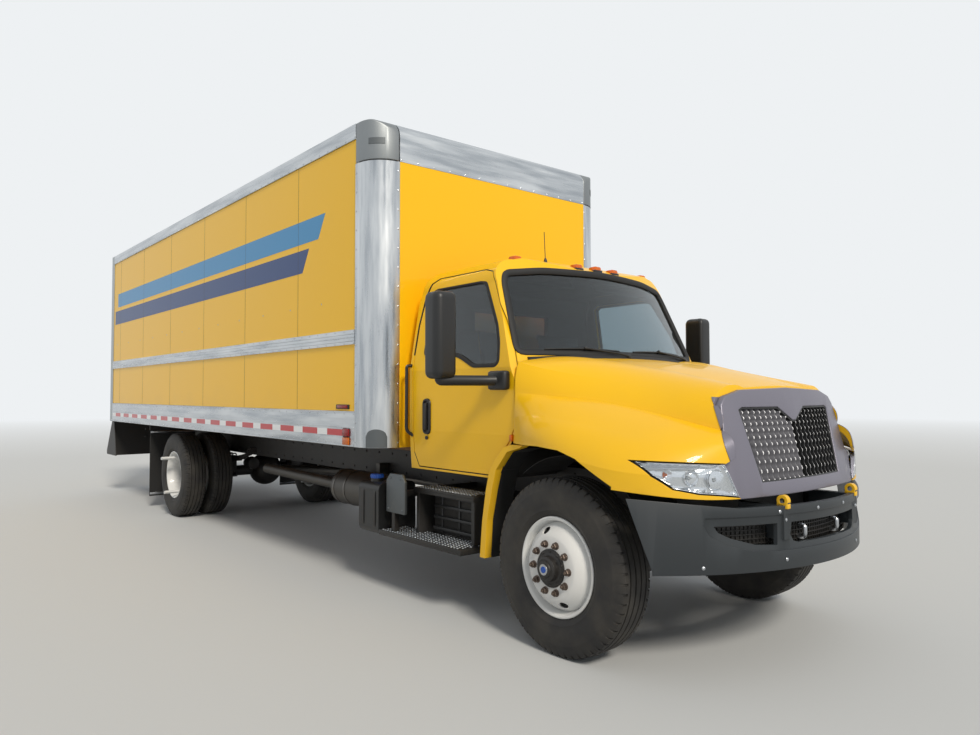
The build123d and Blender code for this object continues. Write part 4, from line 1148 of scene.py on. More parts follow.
def rail_ribs():
    """The ribs along the side rails, the seams between panels, and the header's sheet."""
    ribs, seams = bmesh.new(), bmesh.new()
    rear, front = PANEL_SPAN
    for side in (-1, 1):
        # y from, y to, z from, z to of each rib, millimetres
        for near, far, z0, z1 in (
            (1290, 1299, 1284, 1292), (1290, 1300, 1136, 1146), (1290, 1298, 1404, 1414),
            (1290, 1298, 3591, 3598), (1296, 1304, 1972, 1984), (1296, 1304, 2028, 2040),
            (1296, 1303, 2000, 2010),
        ):
            beside(ribs, side, rear + 2, front - 2, near, far, z0, z1, 2)
        for x in SEAMS:
            for z0, z1 in ((1418, 1946), (2066, 3588)):
                beside(seams, side, x - 2, x + 2, PANEL_Y - 4, PANEL_Y + 0.8, z0, z1)
    piece("rail_ribs", ribs, "chassis", "Extruded aluminium, long")
    piece("panel_seams", seams, "chassis", "Seam sealant")
    skin("header_sheet", "body_rails", lambda place, normal: normal.x > 0.5 and place.x > at(-1950, 0, 0).x
         and place.z > 3.3, "chassis", "Extruded aluminium, across", 1.5)
    bm = bmesh.new()
    for x in [rear + 300 + 609.6 * k for k in range(12)]:
        block(bm, (x - 8, -1222, 3709), (x + 8, 1222, 3713.5), 1)
    piece("roof_seams", bm, "chassis", "Painted roof sheet")


def stripes(height, gap):
    """Two bands of film along each side, their front ends cut on the same slant."""
    # finish, lowest point in millimetres, front and rear end
    for name, film, low, front, rear in (
        ("light_band", "Light stripe film", 2890, -2560, -9330),
        ("dark_band", "Dark stripe film", 2890 - (height + gap) / MM, -2860, -9480),
    ):
        bm = bmesh.new()
        lean = height / MM * 0.62
        for side in (-1, 1):
            high = low + height / MM
            corners = ((rear, low), (front - lean, low), (front, high), (rear, high))
            outline = [at(x, side * PANEL_Y, z) for x, z in corners]
            prism(bm, outline, (0, side * 0.6 * MM, 0))
        piece(name, bm, "chassis", film)


def tapes():
    """Reflecting tape along the lower rails and the rear, red and white in turn."""
    pitch = TAPE[0][1] + TAPE[1][1]
    rear, front = PANEL_SPAN
    for name, length, offset in TAPE:
        bm = bmesh.new()
        for side in (-1, 1):
            for k in range(16):
                x1 = front - 170 - (k * pitch + offset) / MM
                if x1 - length / MM < rear:
                    break
                beside(bm, side, x1 - length / MM + 1, x1 - 1, BOX_HALF - 1, BOX_HALF + 0.6, 1216, 1268)
        for k in range(5):
            y = -1190 + (k * pitch + offset) / MM
            block(bm, (TAIL_X + 2.6, y + 1, 604), (TAIL_X + 4.5, y + length / MM - 1, 648))
        piece(name.lower().replace(" ", "_"), bm, "chassis", name)


def box_lamps():
    """Marker lamps at the box's lower front corners, and the lamps of the rear frame."""
    red, amber, feet = bmesh.new(), bmesh.new(), bmesh.new()
    for side in (-1, 1):
        beside(red, side, -2214, -2112, 1294, 1309, 1214, 1276, 6)
        beside(amber, side, -2214, -2112, 1294, 1309, 1146, 1206, 6)
        beside(feet, side, -2218, -2108, 1290, 1298, 1140, 1280, 3)
        beside(feet, side, -2340, -2130, 1284, 1296, 1432, 1468, 4)
        beside(red, side, -2318, -2152, 1294, 1301, 1437, 1463, 3)
    # y, z, half width and half height of each rear lamp
    for y, z, wide, tall in (
        (1247, 1350, 32, 95), (1247, 3640, 30, 22), (120, 3640, 40, 20), (0, 3640, 40, 20),
    ):
        for side in {-1, 1} if y else {1}:
            middle = side * y
            block(feet, (BOX_REAR - 9, middle - wide, z - tall), (BOX_REAR, middle + wide, z + tall), 4)
            block(red, (BOX_REAR - 22, middle - wide + 4, z - tall + 4),
                  (BOX_REAR - 6, middle + wide - 4, z + tall - 4), 7)
    piece("red_lamps", red, "chassis", "Red lens")
    piece("amber_markers", amber, "chassis", "Amber lens")
    piece("lamp_feet", feet, "chassis", "Gasket rubber")


def rear_door_fittings():
    """Hinges and rollers at the roll-up door's slats, its lift handles and latch, and bump stops."""
    bm = bmesh.new()
    low, top = 1276, 3534
    pitch = (top - low) / 7
    x = BOX_REAR + 40
    for number in range(1, 7):
        z = low + number * pitch
        for y in (-1140, -570, 0, 570, 1140):
            block(bm, (x - 4, y - 28, z - 34), (x + 2, y + 28, z + 34), 1.5)
            lathe(bm, [(-0.03, 0.007), (0.03, 0.007)], at(x - 5, y, z), (0, 1, 0), 10)
    for y in (-420, 420):
        handle = ((x, y - 90), (x - 34, y - 90), (x - 34, y + 90), (x, y + 90))
        tube(bm, bend([at(*place, 1420) for place in handle], 0.02), 0.008, 10)
    block(bm, (x - 12, -70, 1292), (x + 2, 70, 1392), 4)
    block(bm, (x - 30, -14, 1300), (x - 10, 14, 1420), 5)
    piece("roll_door_hardware", bm, "chassis", "Zinc plate")
    bm = bmesh.new()
    block(bm, (x - 6, -1196, 1277), (x + 4, 1196, 1290), 3)
    for side in (-1, 1):
        block(bm, (BOX_REAR - 36, side * 1150 - 40, 1060), (BOX_REAR + 30, side * 1150 + 40, 1130), 10)
    piece("rear_rubbers", bm, "chassis", "Gasket rubber")


# Steps, tanks and running gear

def tread_domes(bm, x0, x1, y0, y1, z, pitch=34):
    """Rows of raised domes on a step's tread, every second row set between its neighbours'."""
    for row in range(int((y1 - y0) / pitch)):
        for k in range(int((x1 - x0) / pitch)):
            x = x0 + (k + 0.5 + 0.5 * (row % 2)) * pitch
            if x < x1 - 10:
                fastener(bm, at(x, y0 + (row + 0.5) * pitch, z), (0, 0, 1), 0.010, 0.006, 7)


def cab_steps():
    """The boarding steps: black frames, bright treads, the battery covers' ledges, and side brackets darkened
    as painted shade.
    """
    eased("step_frames", "cab_steps", "chassis", "Satin black enamel", 0.005)
    frames, treads, ledges, plates = bmesh.new(), bmesh.new(), bmesh.new(), bmesh.new()
    for side in (-1, 1):
        # x from, x to, y from, y to and top of each tread
        for x0, x1, near, far, top in ((-1626, -899, 764, 1013, 838), (-1900, -864, 884, 1153, 492)):
            y0, y1 = sorted((side * near, side * far))
            block(frames, (x0, y0, top - 16), (x1, y1, top + 3), 3)
            tread_domes(treads, x0 + 12, x1 - 8, y0 + 8, y1 - 8, top + 3)
        for z in (528, 610, 692, 766):
            beside(ledges, side, -1494, -886, 880, 925 - (z - 528) * 0.08, z, z + 26, 6)
        for x in (-1400, -1190, -980):
            beside(ledges, side, x - 12, x + 12, 890, 908, 512, 790, 4)
        y0, y1 = sorted((side * 1088, side * 1116))
        outline = [(-1853, 636), (-1853, 882), (-1802, 938), (-1638, 938), (-1597, 882), (-1597, 636)]
        prism(plates, [at(x, y0, z) for x, z in outline], (0, (y1 - y0) * MM, 0), 0.006)
        for x, z in ((-1820, 665), (-1630, 665), (-1790, 905), (-1650, 905)):
            fastener(plates, at(x, side * 1116, z), (0, side, 0), 0.010, 0.006, 8)
    piece("step_treads", frames, "chassis", "Satin black enamel")
    piece("step_grips", treads, "chassis", "Tread plate")
    piece("battery_cover_ledges", ledges, "chassis", "Black moulding")
    # Painted shade: the side brackets are a darkened aluminium, as they lie in shade.
    piece("step_brackets", plates, "chassis", "Aluminium darkened as painted shade")


def tanks():
    """The blue filler cap and straps of the fluid tank, and the fuel tank's straps, cap and seams."""
    bm = bmesh.new()
    cap = ((-16, 50), (8, 52), (16, 50), (18, 44), (18, 0))
    lathe(bm, scaled(cap), at(-2080, -1060, 890), (0, 0, 1), 30)
    for k in range(18):
        angle = 2 * math.pi * k / 18
        x, y = -2080 + 51 * math.cos(angle), -1060 + 51 * math.sin(angle)
        lathe(bm, [(-0.012, 0.004), (0.010, 0.004)], at(x, y, 890), (0, 0, 1), 6)
    piece("filler_cap", bm, "chassis", "Blue moulding")
    bm = bmesh.new()
    for x in (-2150, -1975):
        loop = [(-1153, 500), (-1153, 795), (-1100, 853), (-850, 853), (-797, 800), (-797, 495), (-850, 442),
                (-1100, 442)]
        centre = Vector((-975, 650))
        route = []
        for y, z in bend(loop, 55, closed=True):
            out = (Vector((y, z)) - centre).normalized()
            route.append((at(x, y, z), Vector((0, out.x, out.y))))
        strip(bm, route, [(-18, -1), (-18, 3), (18, 3), (18, -1)], closed=True)
    piece("fluid_tank_straps", bm, "chassis", "Satin black enamel")
    bm = bmesh.new()
    for x in (-2350, -2950):
        strap = [(-0.03, 0.290), (-0.03, 0.2945), (0.03, 0.2945), (0.03, 0.290)]
        lathe(bm, strap, at(x, 790, 690), (1, 0, 0), 48, closed=True)
        block(bm, (x - 12, 1040, 790), (x + 12, 1062, 850), 4)
    for x in (-3225, -2025):
        seam = [(-0.006, 0.288), (-0.003, 0.2925), (0.003, 0.2925), (0.006, 0.288)]
        lathe(bm, seam, at(x, 790, 690), (1, 0, 0), 48, closed=True)
    piece("fuel_tank_straps", bm, "chassis", "Bright strap steel")
    bm = bmesh.new()
    axis = Vector((0, 1, 1)).normalized()
    lathe(bm, [(-0.01, 0.052), (0.022, 0.052), (0.028, 0.046), (0.028, 0)], at(-2260, 1012, 952), axis, 26)
    for angle in (0, 90):
        turn = Matrix.Rotation(math.radians(-45), 4, "X") @ Matrix.Rotation(math.radians(angle), 4, "Z")
        middle = at(-2260, 1012, 952) + axis * 0.031
        cuboid(bm, middle - Vector((0.04, 0.006, 0.005)), middle + Vector((0.04, 0.006, 0.005)), 0.003, turn)
    piece("fuel_cap", bm, "chassis", "Zinc plate")
    bm = bmesh.new()
    # x of each clamp, half its width, inner and outer radius, and its steps
    for places, half, inner, outer, steps in (
        ((-3300, -3100, -2720, -2530), 0.012, 0.164, 0.169, 40),
        ((-3395, -2440), 0.02, 0.054, 0.060, 24),
    ):
        for x in places:
            clamp = [(-half, inner), (-half, outer), (half, outer), (half, inner)]
            lathe(bm, clamp, at(x, -640, 660), (1, 0, 0), steps, closed=True)
    piece("exhaust_clamps", bm, "chassis", "Turned steel")


def running_gear():
    """U-bolts and shackle pins of the springs, frame rail bolts, brake chambers and air tanks, the
    mudflaps' bars and the grip on the rear step."""
    bm = bmesh.new()
    # x, y, low and high end of the springs' U-bolts
    for x_axle, y, low, high in ((0, 392, 372, 545), (-6760, 478, 455, 762)):
        for side in (-1, 1):
            for x in (x_axle - 62, x_axle + 62):
                near, far = side * (y - 46), side * (y + 46)
                u_bolt = [at(x, near, low), at(x, near, high), at(x, far, high), at(x, far, low)]
                tube(bm, bend(u_bolt, 0.02), 0.009, 8)
            beside(bm, side, x_axle - 84, x_axle + 84, y - 58, y + 58, low, low + 14, 4)
    for x_pin, y, z in ((630, 392, 690), (-630, 392, 690), (-6060, 478, 830), (-7460, 478, 830)):
        for side in (-1, 1):
            lathe(bm, [(-0.062, 0.014), (-0.058, 0.018), (0.058, 0.018), (0.062, 0.014)],
                  at(x_pin, side * y, z), (0, 1, 0), 14)
    for side in (-1, 1):
        for k in range(44):
            x = 700 - 236 * k
            for z in (826, 990):
                fastener(bm, at(x, side * 432, z), (0, side, 0), 0.011, 0.009, 6)
    piece("chassis_fasteners", bm, "chassis", "Chassis enamel")
    bm = bmesh.new()
    for side in (-1, 1):
        profile = ((-0.09, 0.04), (-0.085, 0.072), (-0.01, 0.078), (0, 0.086), (0.01, 0.078), (0.10, 0.074),
                   (0.108, 0.05))
        lathe(bm, profile, at(-6520, side * 300, 640), (1, 0, 0), 28)
        lathe(bm, profile, at(190, side * 500, 585), (1, 0, 0), 28)
    for x in (-4500, -5000):
        lathe(bm, [(-0.24, 0), (-0.235, 0.06), (-0.21, 0.105), (0.21, 0.105), (0.235, 0.06), (0.24, 0)],
              at(x, 540, 720), (1, 0, 0), 32)
        block(bm, (x - 20, 430, 700), (x + 20, 470, 900), 4)
    piece("brake_chambers", bm, "chassis", "Satin black enamel")
    bm = bmesh.new()
    for side in (-1, 1):
        for z in (180, 1020):
            beside(bm, side, -7699, -7694, 644, 1241, z, z + 26, 2)
    piece("mudflap_bars", bm, "chassis", "Zinc plate")
    bm = bmesh.new()
    for number in range(12):
        x = TAIL_X + 24 + 18 * number
        block(bm, (x - 4, -1200, 651), (x + 4, 1200, 656), 1.5)
    piece("rear_step_grip", bm, "chassis", "Galvanised steel")


# Inside the cab

def cab_linings():
    """Trim over the sheet metal inside the cab and the doors, and black painted shade on the fire wall's
    forward face, whose yellow paint lies in shade inside the arches.
    """
    middle = at(-1100, 0, 1700)
    skin("cab_trim", "cab_shell", lambda place, normal: normal.dot(middle - place) > 0.05
         and AXLE.x - 1.64 < place.x < AXLE.x - 0.28 and abs(place.y) < 0.99 and place.z < 2.57,
         "chassis", "Grey moulding", 3)
    # Painted shade: the fire wall's yellow forward face is covered black, as it lies in deep shade.
    skin("fire_wall_painted_shade", "cab_shell", lambda place, normal: normal.x > 0.3 and place.z < 1.3
         and abs(place.y) < 0.9, "chassis", "Satin black enamel", 3)
    for name, side in SIDES:
        skin(f"door_card_{name}", f"door_{name}", lambda place, normal: -side * normal.y > 0.5,
             f"door_{name}", "Grey moulding", 3)


def pad(name, corners, thick, crown, body):
    """A stuffed vinyl cushion over four corners, crowned in the middle, pinched at its seams and with
    sewn channels. Corners run round its mid plane and thick is across it."""
    origin, along, over = corners[0], corners[1] - corners[0], corners[3] - corners[0]
    out = along.cross(over).normalized()
    bm = bmesh.new()
    nu, nv = 20, 16
    sides = []
    for face in (1, -1):
        grid = []
        for i in range(nu + 1):
            row = []
            for j in range(nv + 1):
                u, v = 2 * i / nu - 1, 2 * j / nv - 1
                pull_u, pull_v = 1 - 0.03 * (1 - v * v), 1 - 0.03 * (1 - u * u)
                swell = (1 - abs(u) ** 5) ** 0.5 * (1 - abs(v) ** 5) ** 0.5
                dome = crown * (1 - u * u) * (1 - v * v)
                channel = 0.006 * max(0, 1 - abs((abs(v) - 0.45) / 0.07)) * (face > 0)
                lift = face * (thick / 2 * swell + dome * (face > 0)) - channel
                place = origin + along * (0.5 + u * pull_u / 2) + over * (0.5 + v * pull_v / 2) + out * lift
                edge = i in (0, nu) or j in (0, nv)
                row.append(sides[0][i][j] if edge and sides else bm.verts.new(place))
            grid.append(row)
        sides.append(grid)
    for grid in sides:
        for i in range(nu):
            for j in range(nv):
                bm.faces.new((grid[i][j], grid[i + 1][j], grid[i + 1][j + 1], grid[i][j + 1]))
    made = piece(name, bm, body, "Grained vinyl", sharp=80)
    return made


def seats():
    """A driver's seat and a two-place bench, padded, on black bases."""
    bases = bmesh.new()
    # name, y from, y to
    for name, y0, y1 in (("driver", 225, 735), ("passenger", -850, -438), ("middle", -430, -20)):
        cushion = [at(-1405, y0, 1428), at(-995, y0, 1462), at(-995, y1, 1462), at(-1405, y1, 1428)]
        made = pad(f"{name}_cushion", cushion, 0.066, 0.010, "chassis")
        if name == "driver":
            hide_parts("seats")
        rest = [at(-1440, y0, 1500), at(-1440, y1, 1500), at(-1553, y1, 2066), at(-1553, y0, 2066)]
        pad(f"{name}_backrest", rest, 0.074, 0.006, "chassis")
        block(bases, (-1395, y0 + 50, 1092), (-1020, y1 - 50, 1395), 14)
    piece("seat_bases", bases, "chassis", "Black moulding")


def controls():
    """Instrument hood and dials, vents, radio panel, pedals and the sun visors."""
    bm = bmesh.new()
    block(bm, (-925, 290, 1700), (-700, 690, 1790), 26)
    for y in (-780, -320, 150, 830):
        block(bm, (-938, y - 50, 1625), (-905, y + 50, 1680), 8)
        for k in range(4):
            block(bm, (-942, y - 44, 1633 + 11 * k), (-930, y + 44, 1636 + 11 * k))
    block(bm, (-936, -190, 1560), (-900, 60, 1610), 8)
    for y in (-140, -70, 0):
        lathe(bm, [(0, 0.016), (0.018, 0.014), (0.02, 0)], at(-933, y, 1585), (-1, 0, 0), 14)
    for y0, y1 in ((-820, -120), (120, 820)):
        block(bm, (-812, y0, 2340), (-790, y1, 2425), 8, Matrix.Rotation(math.radians(-38), 4, "Y"))
    for y in (420, 560):
        block(bm, (-900, y - 35, 1190), (-880, y + 35, 1270), 6, Matrix.Rotation(math.radians(35), 4, "Y"))
        tube(bm, [at(-870, y, 1240), at(-790, y, 1400)], 0.010, 8)
    piece("cab_controls", bm, "chassis", "Black moulding")
    bm = bmesh.new()
    for y, radius in ((390, 46), (590, 46), (490, 34)):
        lathe(bm, [(0, radius * MM), (0.008, radius * MM), (0.008, radius * 0.9 * MM), (0.005, 0)],
              at(-924, y, 1655), (-1, 0, 0.25), 28)
    piece("dials", bm, "chassis", "White tape")


# Finishes and the built pieces that wear them

# Node, material
FINISHES = (
    ("frame_rails", "Chassis enamel"),
    ("front_axle", "Chassis enamel"),
    ("rear_axle", "Chassis enamel"),
    ("rear_bumper", "Chassis enamel"),
    ("leaf_springs", "Spring steel"),
    ("driveshaft", "Turned steel"),
    ("exhaust", "Aluminised steel"),
    ("engine_block", "Cast iron"),
    ("knuckle_right", "Cast iron"),
    ("knuckle_left", "Cast iron"),
    ("radiator", "Finned radiator core"),
    ("front_tyre_right", "Tyre rubber"),
    ("front_tyre_left", "Tyre rubber"),
    ("rear_tyres_right", "Tyre rubber"),
    ("rear_tyres_left", "Tyre rubber"),
    ("mudflaps", "Moulded rubber sheet"),
    ("front_rim_right", "White wheel enamel"),
    ("front_rim_left", "White wheel enamel"),
    ("rear_rims_right", "White wheel enamel"),
    ("rear_rims_left", "White wheel enamel"),
    ("cab_shell", "Yellow enamel"),
    ("hood", "Yellow enamel"),
    ("door_right", "Yellow enamel"),
    ("door_left", "Yellow enamel"),
    ("front_wall", "Yellow enamel"),
    ("side_walls", "Yellow enamel"),
    ("roll_door", "Yellow enamel"),
    ("roof_panel", "Painted roof sheet"),
    ("cab_glass", "Float glass"),
    ("door_glass_right", "Float glass"),
    ("door_glass_left", "Float glass"),
    ("mirror_right", "Black moulding"),
    ("mirror_left", "Black moulding"),
    ("front_bumper", "Bumper moulding"),
    ("dashboard", "Grey moulding"),
    ("steering_wheel", "Black moulding"),
    ("seats", "Grained vinyl"),
    ("fluid_tank", "Black moulding"),
    ("corner_posts", "Extruded aluminium, upright"),
    ("corner_caps", "Cast aluminium"),
    ("body_rails", "Extruded aluminium, long"),
    ("fuel_tank", "Extruded aluminium, long"),
    ("rear_portal", "Galvanised steel"),
    ("cargo_floor", "Laminated oak"),
    ("cab_steps", "Tread plate"),
    ("grille_surround", "Silver moulding"),
    ("grille", "Silver moulding"),
    ("headlamps", "Lamp glass"),
    ("body_lamps", "Red lens"),
)


def make_materials(colours):
    """Every finish of the truck. The stripes' film lies under the same gloss coat as the enamel."""
    sprayed_enamel("Yellow enamel", [*colours.body, 1.0], 1.6)
    sprayed_enamel("Light stripe film", [*colours.light_stripe, 1.0], 0.5)
    sprayed_enamel("Dark stripe film", [*colours.dark_stripe, 1.0], 0.5)
    sprayed_enamel("White wheel enamel", [*colours.wheels, 1.0], 1.3)
    sprayed_enamel("Painted roof sheet", "#D8DADB", 0.5)
    extruded_aluminium("Extruded aluminium, long", 0)
    extruded_aluminium("Extruded aluminium, across", 1)
    extruded_aluminium("Extruded aluminium, upright", 2)
    extruded_aluminium("Tread plate", 1)
    cast_metal("Cast aluminium", "#8D9193", 0.5, 1.0)
    cast_metal("Cast iron", "#4A4543", 0.7, 0.3)
    cast_metal("Spring steel", "#3A3735", 0.6, 0.5)
    cast_metal("Galvanised steel", "#A9AEB0", 0.45, 1.0)
    cast_metal("Silver moulding", "#7E7C88", 0.38, 0.5)
    cast_metal("Grey satin moulding", "#5E5E64", 0.45, 0.2)
    cast_metal("Painted highlight moulding", "#F0F0F2", 0.3, 0.3)
    # Darker than the other aluminium, as painted shade.
    cast_metal("Aluminium darkened as painted shade", "#6A6E70", 0.55, 1.0)
    moulded_plastic("Black moulding", "#1B1C1D", 0.42, 1.5)
    moulded_plastic("Bumper moulding", "#2B3034", 0.42, 1.5)
    moulded_plastic("Grey moulding", "#2C2F32", 0.6, 1.5)
    moulded_plastic("Blue moulding", "#1E4FA8", 0.35, 1.5)
    moulded_plastic("Gasket rubber", "#121213", 0.65, 1.0)
    moulded_plastic("Seam sealant", "#3B3428", 0.7, 1.0)
    moulded_plastic("Moulded rubber sheet", "#1C1C1C", 0.8, 3.0)
    tyre_rubber()
    chassis_enamel("Chassis enamel", "#1D1E1F")
    chassis_enamel("Satin black enamel", "#151617")
    chassis_enamel("Hub enamel", "#131416")
    plated_steel("Zinc plate", "#B9BCC0", 0.3)
    plated_steel("Turned steel", "#6F6C69", 0.4)
    plated_steel("Aluminised steel", "#5C5A57", 0.5)
    plated_steel("Browned steel", "#6A5E56", 0.5)
    plated_steel("Silvered bowl", "#E4E6E8", 0.12)
    plated_steel("Silvered glass", "#D4D8DA", 0.03)
    plated_steel("Bright strap steel", "#A9ACAF", 0.35)
    clear_glass("Float glass", "#A7B6BC")
    clear_glass("Lamp glass", "#F4F6F8", 0.02)
    moulded_lens("Amber lens", "#F07A12")
    moulded_lens("Red lens", "#A80F12")
    moulded_lens("Clear lens", "#E8ECEE")
    cast_vinyl("Red tape", "#C0282D")
    cast_vinyl("White tape", "#E9ECEE")
    cast_vinyl("Grained vinyl", "#3A3C40", 0.55)
    planed_oak()
    moulded_plastic("Finned radiator core", "#262626", 0.6, 2.0)


# The stage

CAMERA_PLACE = Vector((AXLE.x + 3.1709, -4.2584, 1.556))
CAMERA_YAW = 0.6967
CAMERA_PITCH = 0.0347
CAMERA_ROLL = -0.0017
CAMERA_LENS = 27.42
SKY_STRENGTH = 0.45
SUN_STRENGTH = 2.3
SUN_DIRECTION = (-0.72, 0.22, -0.62)
SUN_ANGLE = math.radians(12)


def camera():
    level_share = math.cos(CAMERA_PITCH)
    ahead = Vector((-math.cos(CAMERA_YAW) * level_share, math.sin(CAMERA_YAW) * level_share,
                    math.sin(CAMERA_PITCH)))
    level = ahead.cross(Vector((0, 0, 1))).normalized()
    upright = level.cross(ahead)
    right = level * math.cos(CAMERA_ROLL) + upright * math.sin(CAMERA_ROLL)
    up = upright * math.cos(CAMERA_ROLL) - level * math.sin(CAMERA_ROLL)
    data = bpy.data.cameras.new("Camera")
    data.sensor_width = 36
    data.lens = CAMERA_LENS
    data.clip_end = 300
    made = bpy.data.objects.new("Camera", data)
    made.matrix_world = Matrix.Translation(CAMERA_PLACE) @ Matrix((right, up, -ahead)).transposed().to_4x4()
    bpy.context.scene.collection.objects.link(made)
    bpy.context.scene.camera = made


def lamp(name, kind, direction, strength, colour, **settings):
    """A lamp that shines along a direction."""
    data = bpy.data.lights.new(name, kind)
    data.energy = strength
    data.color = linear(colour)[:3]
    for key, value in settings.items():
        setattr(data, key, value)
    made = bpy.data.objects.new(name, data)
    made.rotation_euler = Vector(direction).to_track_quat("-Z", "Y").to_euler()
    bpy.context.scene.collection.objects.link(made)
    return made


def sweep(backdrop):
    """A pale studio floor that fades into the backdrop away from the truck."""
    bm = bmesh.new()
    bmesh.ops.create_circle(bm, cap_ends=True, segments=96, radius=90)
    mesh = bpy.data.meshes.new("studio_floor")
    bm.to_mesh(mesh)
    bm.free()
    floor = bpy.data.objects.new("studio_floor", mesh)
    bpy.context.scene.collection.objects.link(floor)
    material, tree, shader = finish("Painted studio floor", "#CFD2D3", 0.8)
    place = add(tree, "ShaderNodeTexCoord")
    reach = add(tree, "ShaderNodeVectorMath", (0, place, "Object"), operation="LENGTH")
    fade = add(tree, "ShaderNodeMapRange", ("Value", reach, "Value"), From_Min=13.0, From_Max=45.0)
    glow = add(tree, "ShaderNodeEmission", Color=backdrop, Strength=1.0)
    mix = add(tree, "ShaderNodeMixShader", (0, fade, "Result"), (1, shader, "BSDF"), (2, glow, "Emission"))
    tree.links.new(mix.outputs[0], tree.nodes["Material Output"].inputs["Surface"])
    mesh.materials.append(material)


def sky(backdrop, strength):
    """Even light from all round. The camera, gloss and glass see the backdrop's own colour."""
    world = bpy.data.worlds.new("Studio")
    bpy.context.scene.world = world
    world.use_nodes = True
    tree = world.node_tree
    lit = tree.nodes["Background"]
    lit.inputs["Color"].default_value = linear("#F2F4F7")
    lit.inputs["Strength"].default_value = strength
    seen = add(tree, "ShaderNodeBackground", Color=backdrop, Strength=1.0)
    path = add(tree, "ShaderNodeLightPath")
    direct = add(
        tree, "ShaderNodeMath", (0, path, "Is Camera Ray"), (1, path, "Is Glossy Ray"), operation="MAXIMUM",
    )
    either = add(
        tree, "ShaderNodeMath", (0, direct, "Value"), (1, path, "Is Transmission Ray"), operation="MAXIMUM",
    )
    mix = add(
        tree, "ShaderNodeMixShader", (0, either, "Value"), (1, lit, "Background"), (2, seen, "Background"),
    )
    tree.links.new(mix.outputs[0], tree.nodes["World Output"].inputs["Surface"])


class TruckColours(bpy.types.PropertyGroup):
    """Paints and films that an owner would choose."""
    body: FloatVectorProperty(
        name="Body paint", description="Enamel on the cab, hood and box", subtype="COLOR",
        default=linear("#FBC40A")[:3], min=0, max=1,
    )
    wheels: FloatVectorProperty(
        name="Wheel paint", description="Enamel on the wheel discs", subtype="COLOR",
        default=linear("#E4E6E6")[:3], min=0, max=1,
    )
    light_stripe: FloatVectorProperty(
        name="Light stripe", description="Film of the upper stripe", subtype="COLOR",
        default=linear("#3E8FC4")[:3], min=0, max=1,
    )
    dark_stripe: FloatVectorProperty(
        name="Dark stripe", description="Film of the lower stripe", subtype="COLOR",
        default=linear("#1D3F77")[:3], min=0, max=1,
    )
    backdrop: FloatVectorProperty(
        name="Backdrop", description="Colour behind the truck", subtype="COLOR",
        default=linear("#EEF1F3")[:3], min=0, max=1,
    )


class TruckSizes(bpy.types.PropertyGroup):
    """Sizes of fittings that an owner would choose."""
    tread_cuts: IntProperty(
        name="Tread cuts", description="Cross cuts round each shoulder of a tyre", default=58, min=20,
        max=120,
    )
    rivet_pitch: FloatProperty(
        name="Rivet pitch", description="Distance between the rivets of the side rails", unit="LENGTH",
        default=0.1524, min=0.05,
    )
    rivet_radius: FloatProperty(
        name="Rivet radius", description="Radius of a rivet's head", unit="LENGTH", default=0.008, min=0.002,
    )
    stripe_height: FloatProperty(
        name="Stripe height", description="Height of each band of film", unit="LENGTH", default=0.205,
        min=0.02,
    )
    stripe_gap: FloatProperty(
        name="Stripe gap", description="Bare paint between the two bands", unit="LENGTH", default=0.055,
        min=0,
    )


class TRUCK_OT_stage(bpy.types.Operator):
    """Sets the floor, the light and the camera"""
    bl_idname = "truck.stage"
    bl_label = "Stage"

    def execute(self, context):
        context.scene.view_settings.view_transform = "Standard"
        backdrop = [*context.scene.truck_colours.backdrop, 1.0]
        sky(backdrop, SKY_STRENGTH)
        sweep(backdrop)
        lamp("Key", "SUN", SUN_DIRECTION, SUN_STRENGTH, "#FFF6E8", angle=SUN_ANGLE)
        camera()
        return {"FINISHED"}


class TRUCK_OT_finishes(bpy.types.Operator):
    """Makes the paints, metals, rubbers and glass, and puts them on the built pieces"""
    bl_idname = "truck.finishes"
    bl_label = "Finishes"

    def execute(self, context):
        make_materials(context.scene.truck_colours)
        for node, material in FINISHES:
            clad(node, material)
        return {"FINISHED"}


class TRUCK_OT_wheels(bpy.types.Operator):
    """Tyres with tread, disc wheels, hubs and wheel nuts"""
    bl_idname = "truck.wheels"
    bl_label = "Wheels"

    def execute(self, context):
        for name, side in SIDES:
            front_wheel(name, side, context.scene.truck_sizes.tread_cuts)
            rear_wheels(name, side, context.scene.truck_sizes.tread_cuts)
        return {"FINISHED"}


class TRUCK_OT_nose(bpy.types.Operator):
    """Grille, headlamps, bumper moulding and wheel arch liners"""
    bl_idname = "truck.nose"
    bl_label = "Nose"

    def execute(self, context):
        grille()
        headlamps()
        bumper()
        bumper_backing()
        wheel_liners()
        return {"FINISHED"}


class TRUCK_OT_cab(bpy.types.Operator):
    """Glass seals, wipers, roof lamps, door handles, mirrors and grab bars"""
    bl_idname = "truck.cab"
    bl_label = "Cab"

    def execute(self, context):
        screen_seals()
        wipers()
        roof_fittings()
        cab_fittings()
        for name, side in SIDES:
            door_fittings(name, side)
        return {"FINISHED"}


class TRUCK_OT_interior(bpy.types.Operator):
    """Trim, padded seats, dials and controls"""
    bl_idname = "truck.interior"
    bl_label = "Inside the cab"

    def execute(self, context):
        cab_linings()
        seats()
        controls()
        return {"FINISHED"}


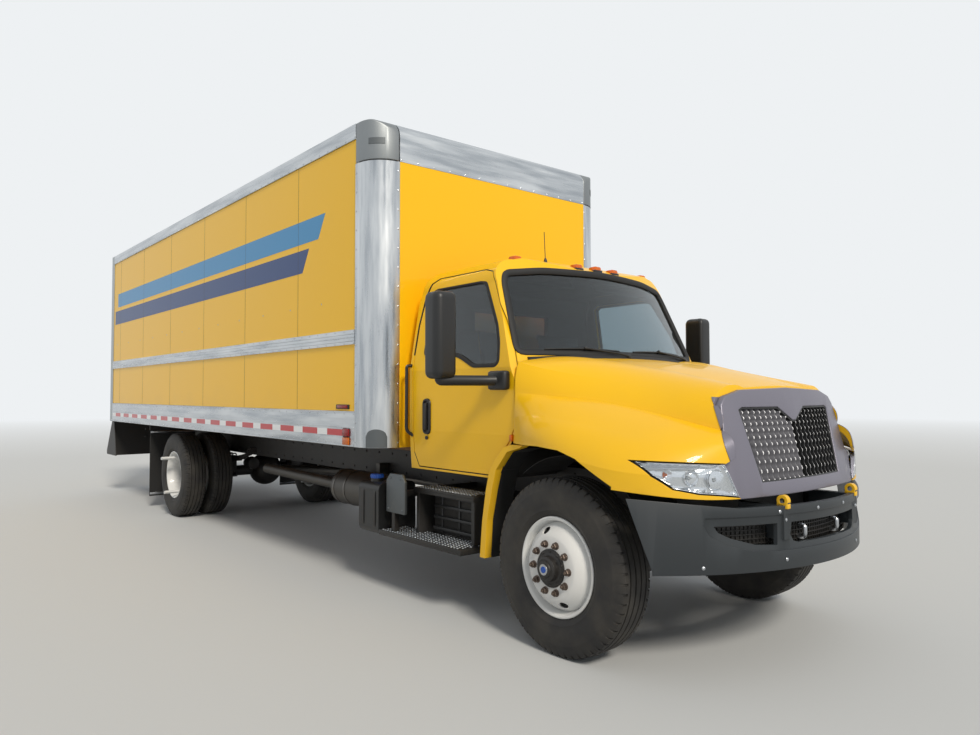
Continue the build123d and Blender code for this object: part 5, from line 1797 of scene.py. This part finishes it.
class TRUCK_OT_box(bpy.types.Operator):
    """Castings, ribs, rivets, seams, stripes, tape, lamps and rear door hardware of the cargo box"""
    bl_idname = "truck.box"
    bl_label = "Cargo box"

    def execute(self, context):
        sizes = context.scene.truck_sizes
        posts_and_caps()
        rail_ribs()
        rivet_rows(sizes.rivet_pitch, sizes.rivet_radius)
        stripes(sizes.stripe_height, sizes.stripe_gap)
        tapes()
        box_lamps()
        rear_door_fittings()
        return {"FINISHED"}


class TRUCK_OT_chassis(bpy.types.Operator):
    """Steps, tank fittings, spring bolts, brake chambers and mudflap bars"""
    bl_idname = "truck.chassis"
    bl_label = "Chassis"

    def execute(self, context):
        cab_steps()
        tanks()
        running_gear()
        return {"FINISHED"}


GROUPS = (TruckColours, TruckSizes)
OPERATORS = (
    TRUCK_OT_stage, TRUCK_OT_finishes, TRUCK_OT_wheels, TRUCK_OT_nose, TRUCK_OT_cab, TRUCK_OT_interior,
    TRUCK_OT_box, TRUCK_OT_chassis,
)


class TRUCK_PT_sidebar(bpy.types.Panel):
    """Buttons for each group of pieces, and the colours that they take"""
    bl_label = "Box truck"
    bl_space_type = "VIEW_3D"
    bl_region_type = "UI"
    bl_category = "Truck"

    def draw(self, context):
        scene = context.scene
        for group, held in ((TruckColours, scene.truck_colours), (TruckSizes, scene.truck_sizes)):
            for key in group.__annotations__:
                self.layout.prop(held, key)
        for operator in OPERATORS:
            self.layout.operator(operator.bl_idname)


CLASSES = (*GROUPS, *OPERATORS, TRUCK_PT_sidebar)


def register():
    for cls in CLASSES:
        bpy.utils.register_class(cls)
    bpy.types.Scene.truck_colours = PointerProperty(type=TruckColours)
    bpy.types.Scene.truck_sizes = PointerProperty(type=TruckSizes)


def unregister():
    del bpy.types.Scene.truck_sizes
    del bpy.types.Scene.truck_colours
    for cls in reversed(CLASSES):
        bpy.utils.unregister_class(cls)


def main():
    register()
    for operator in OPERATORS:
        group, name = operator.bl_idname.split(".")
        getattr(getattr(bpy.ops, group), name)()


if __name__ == "__main__":
    main()
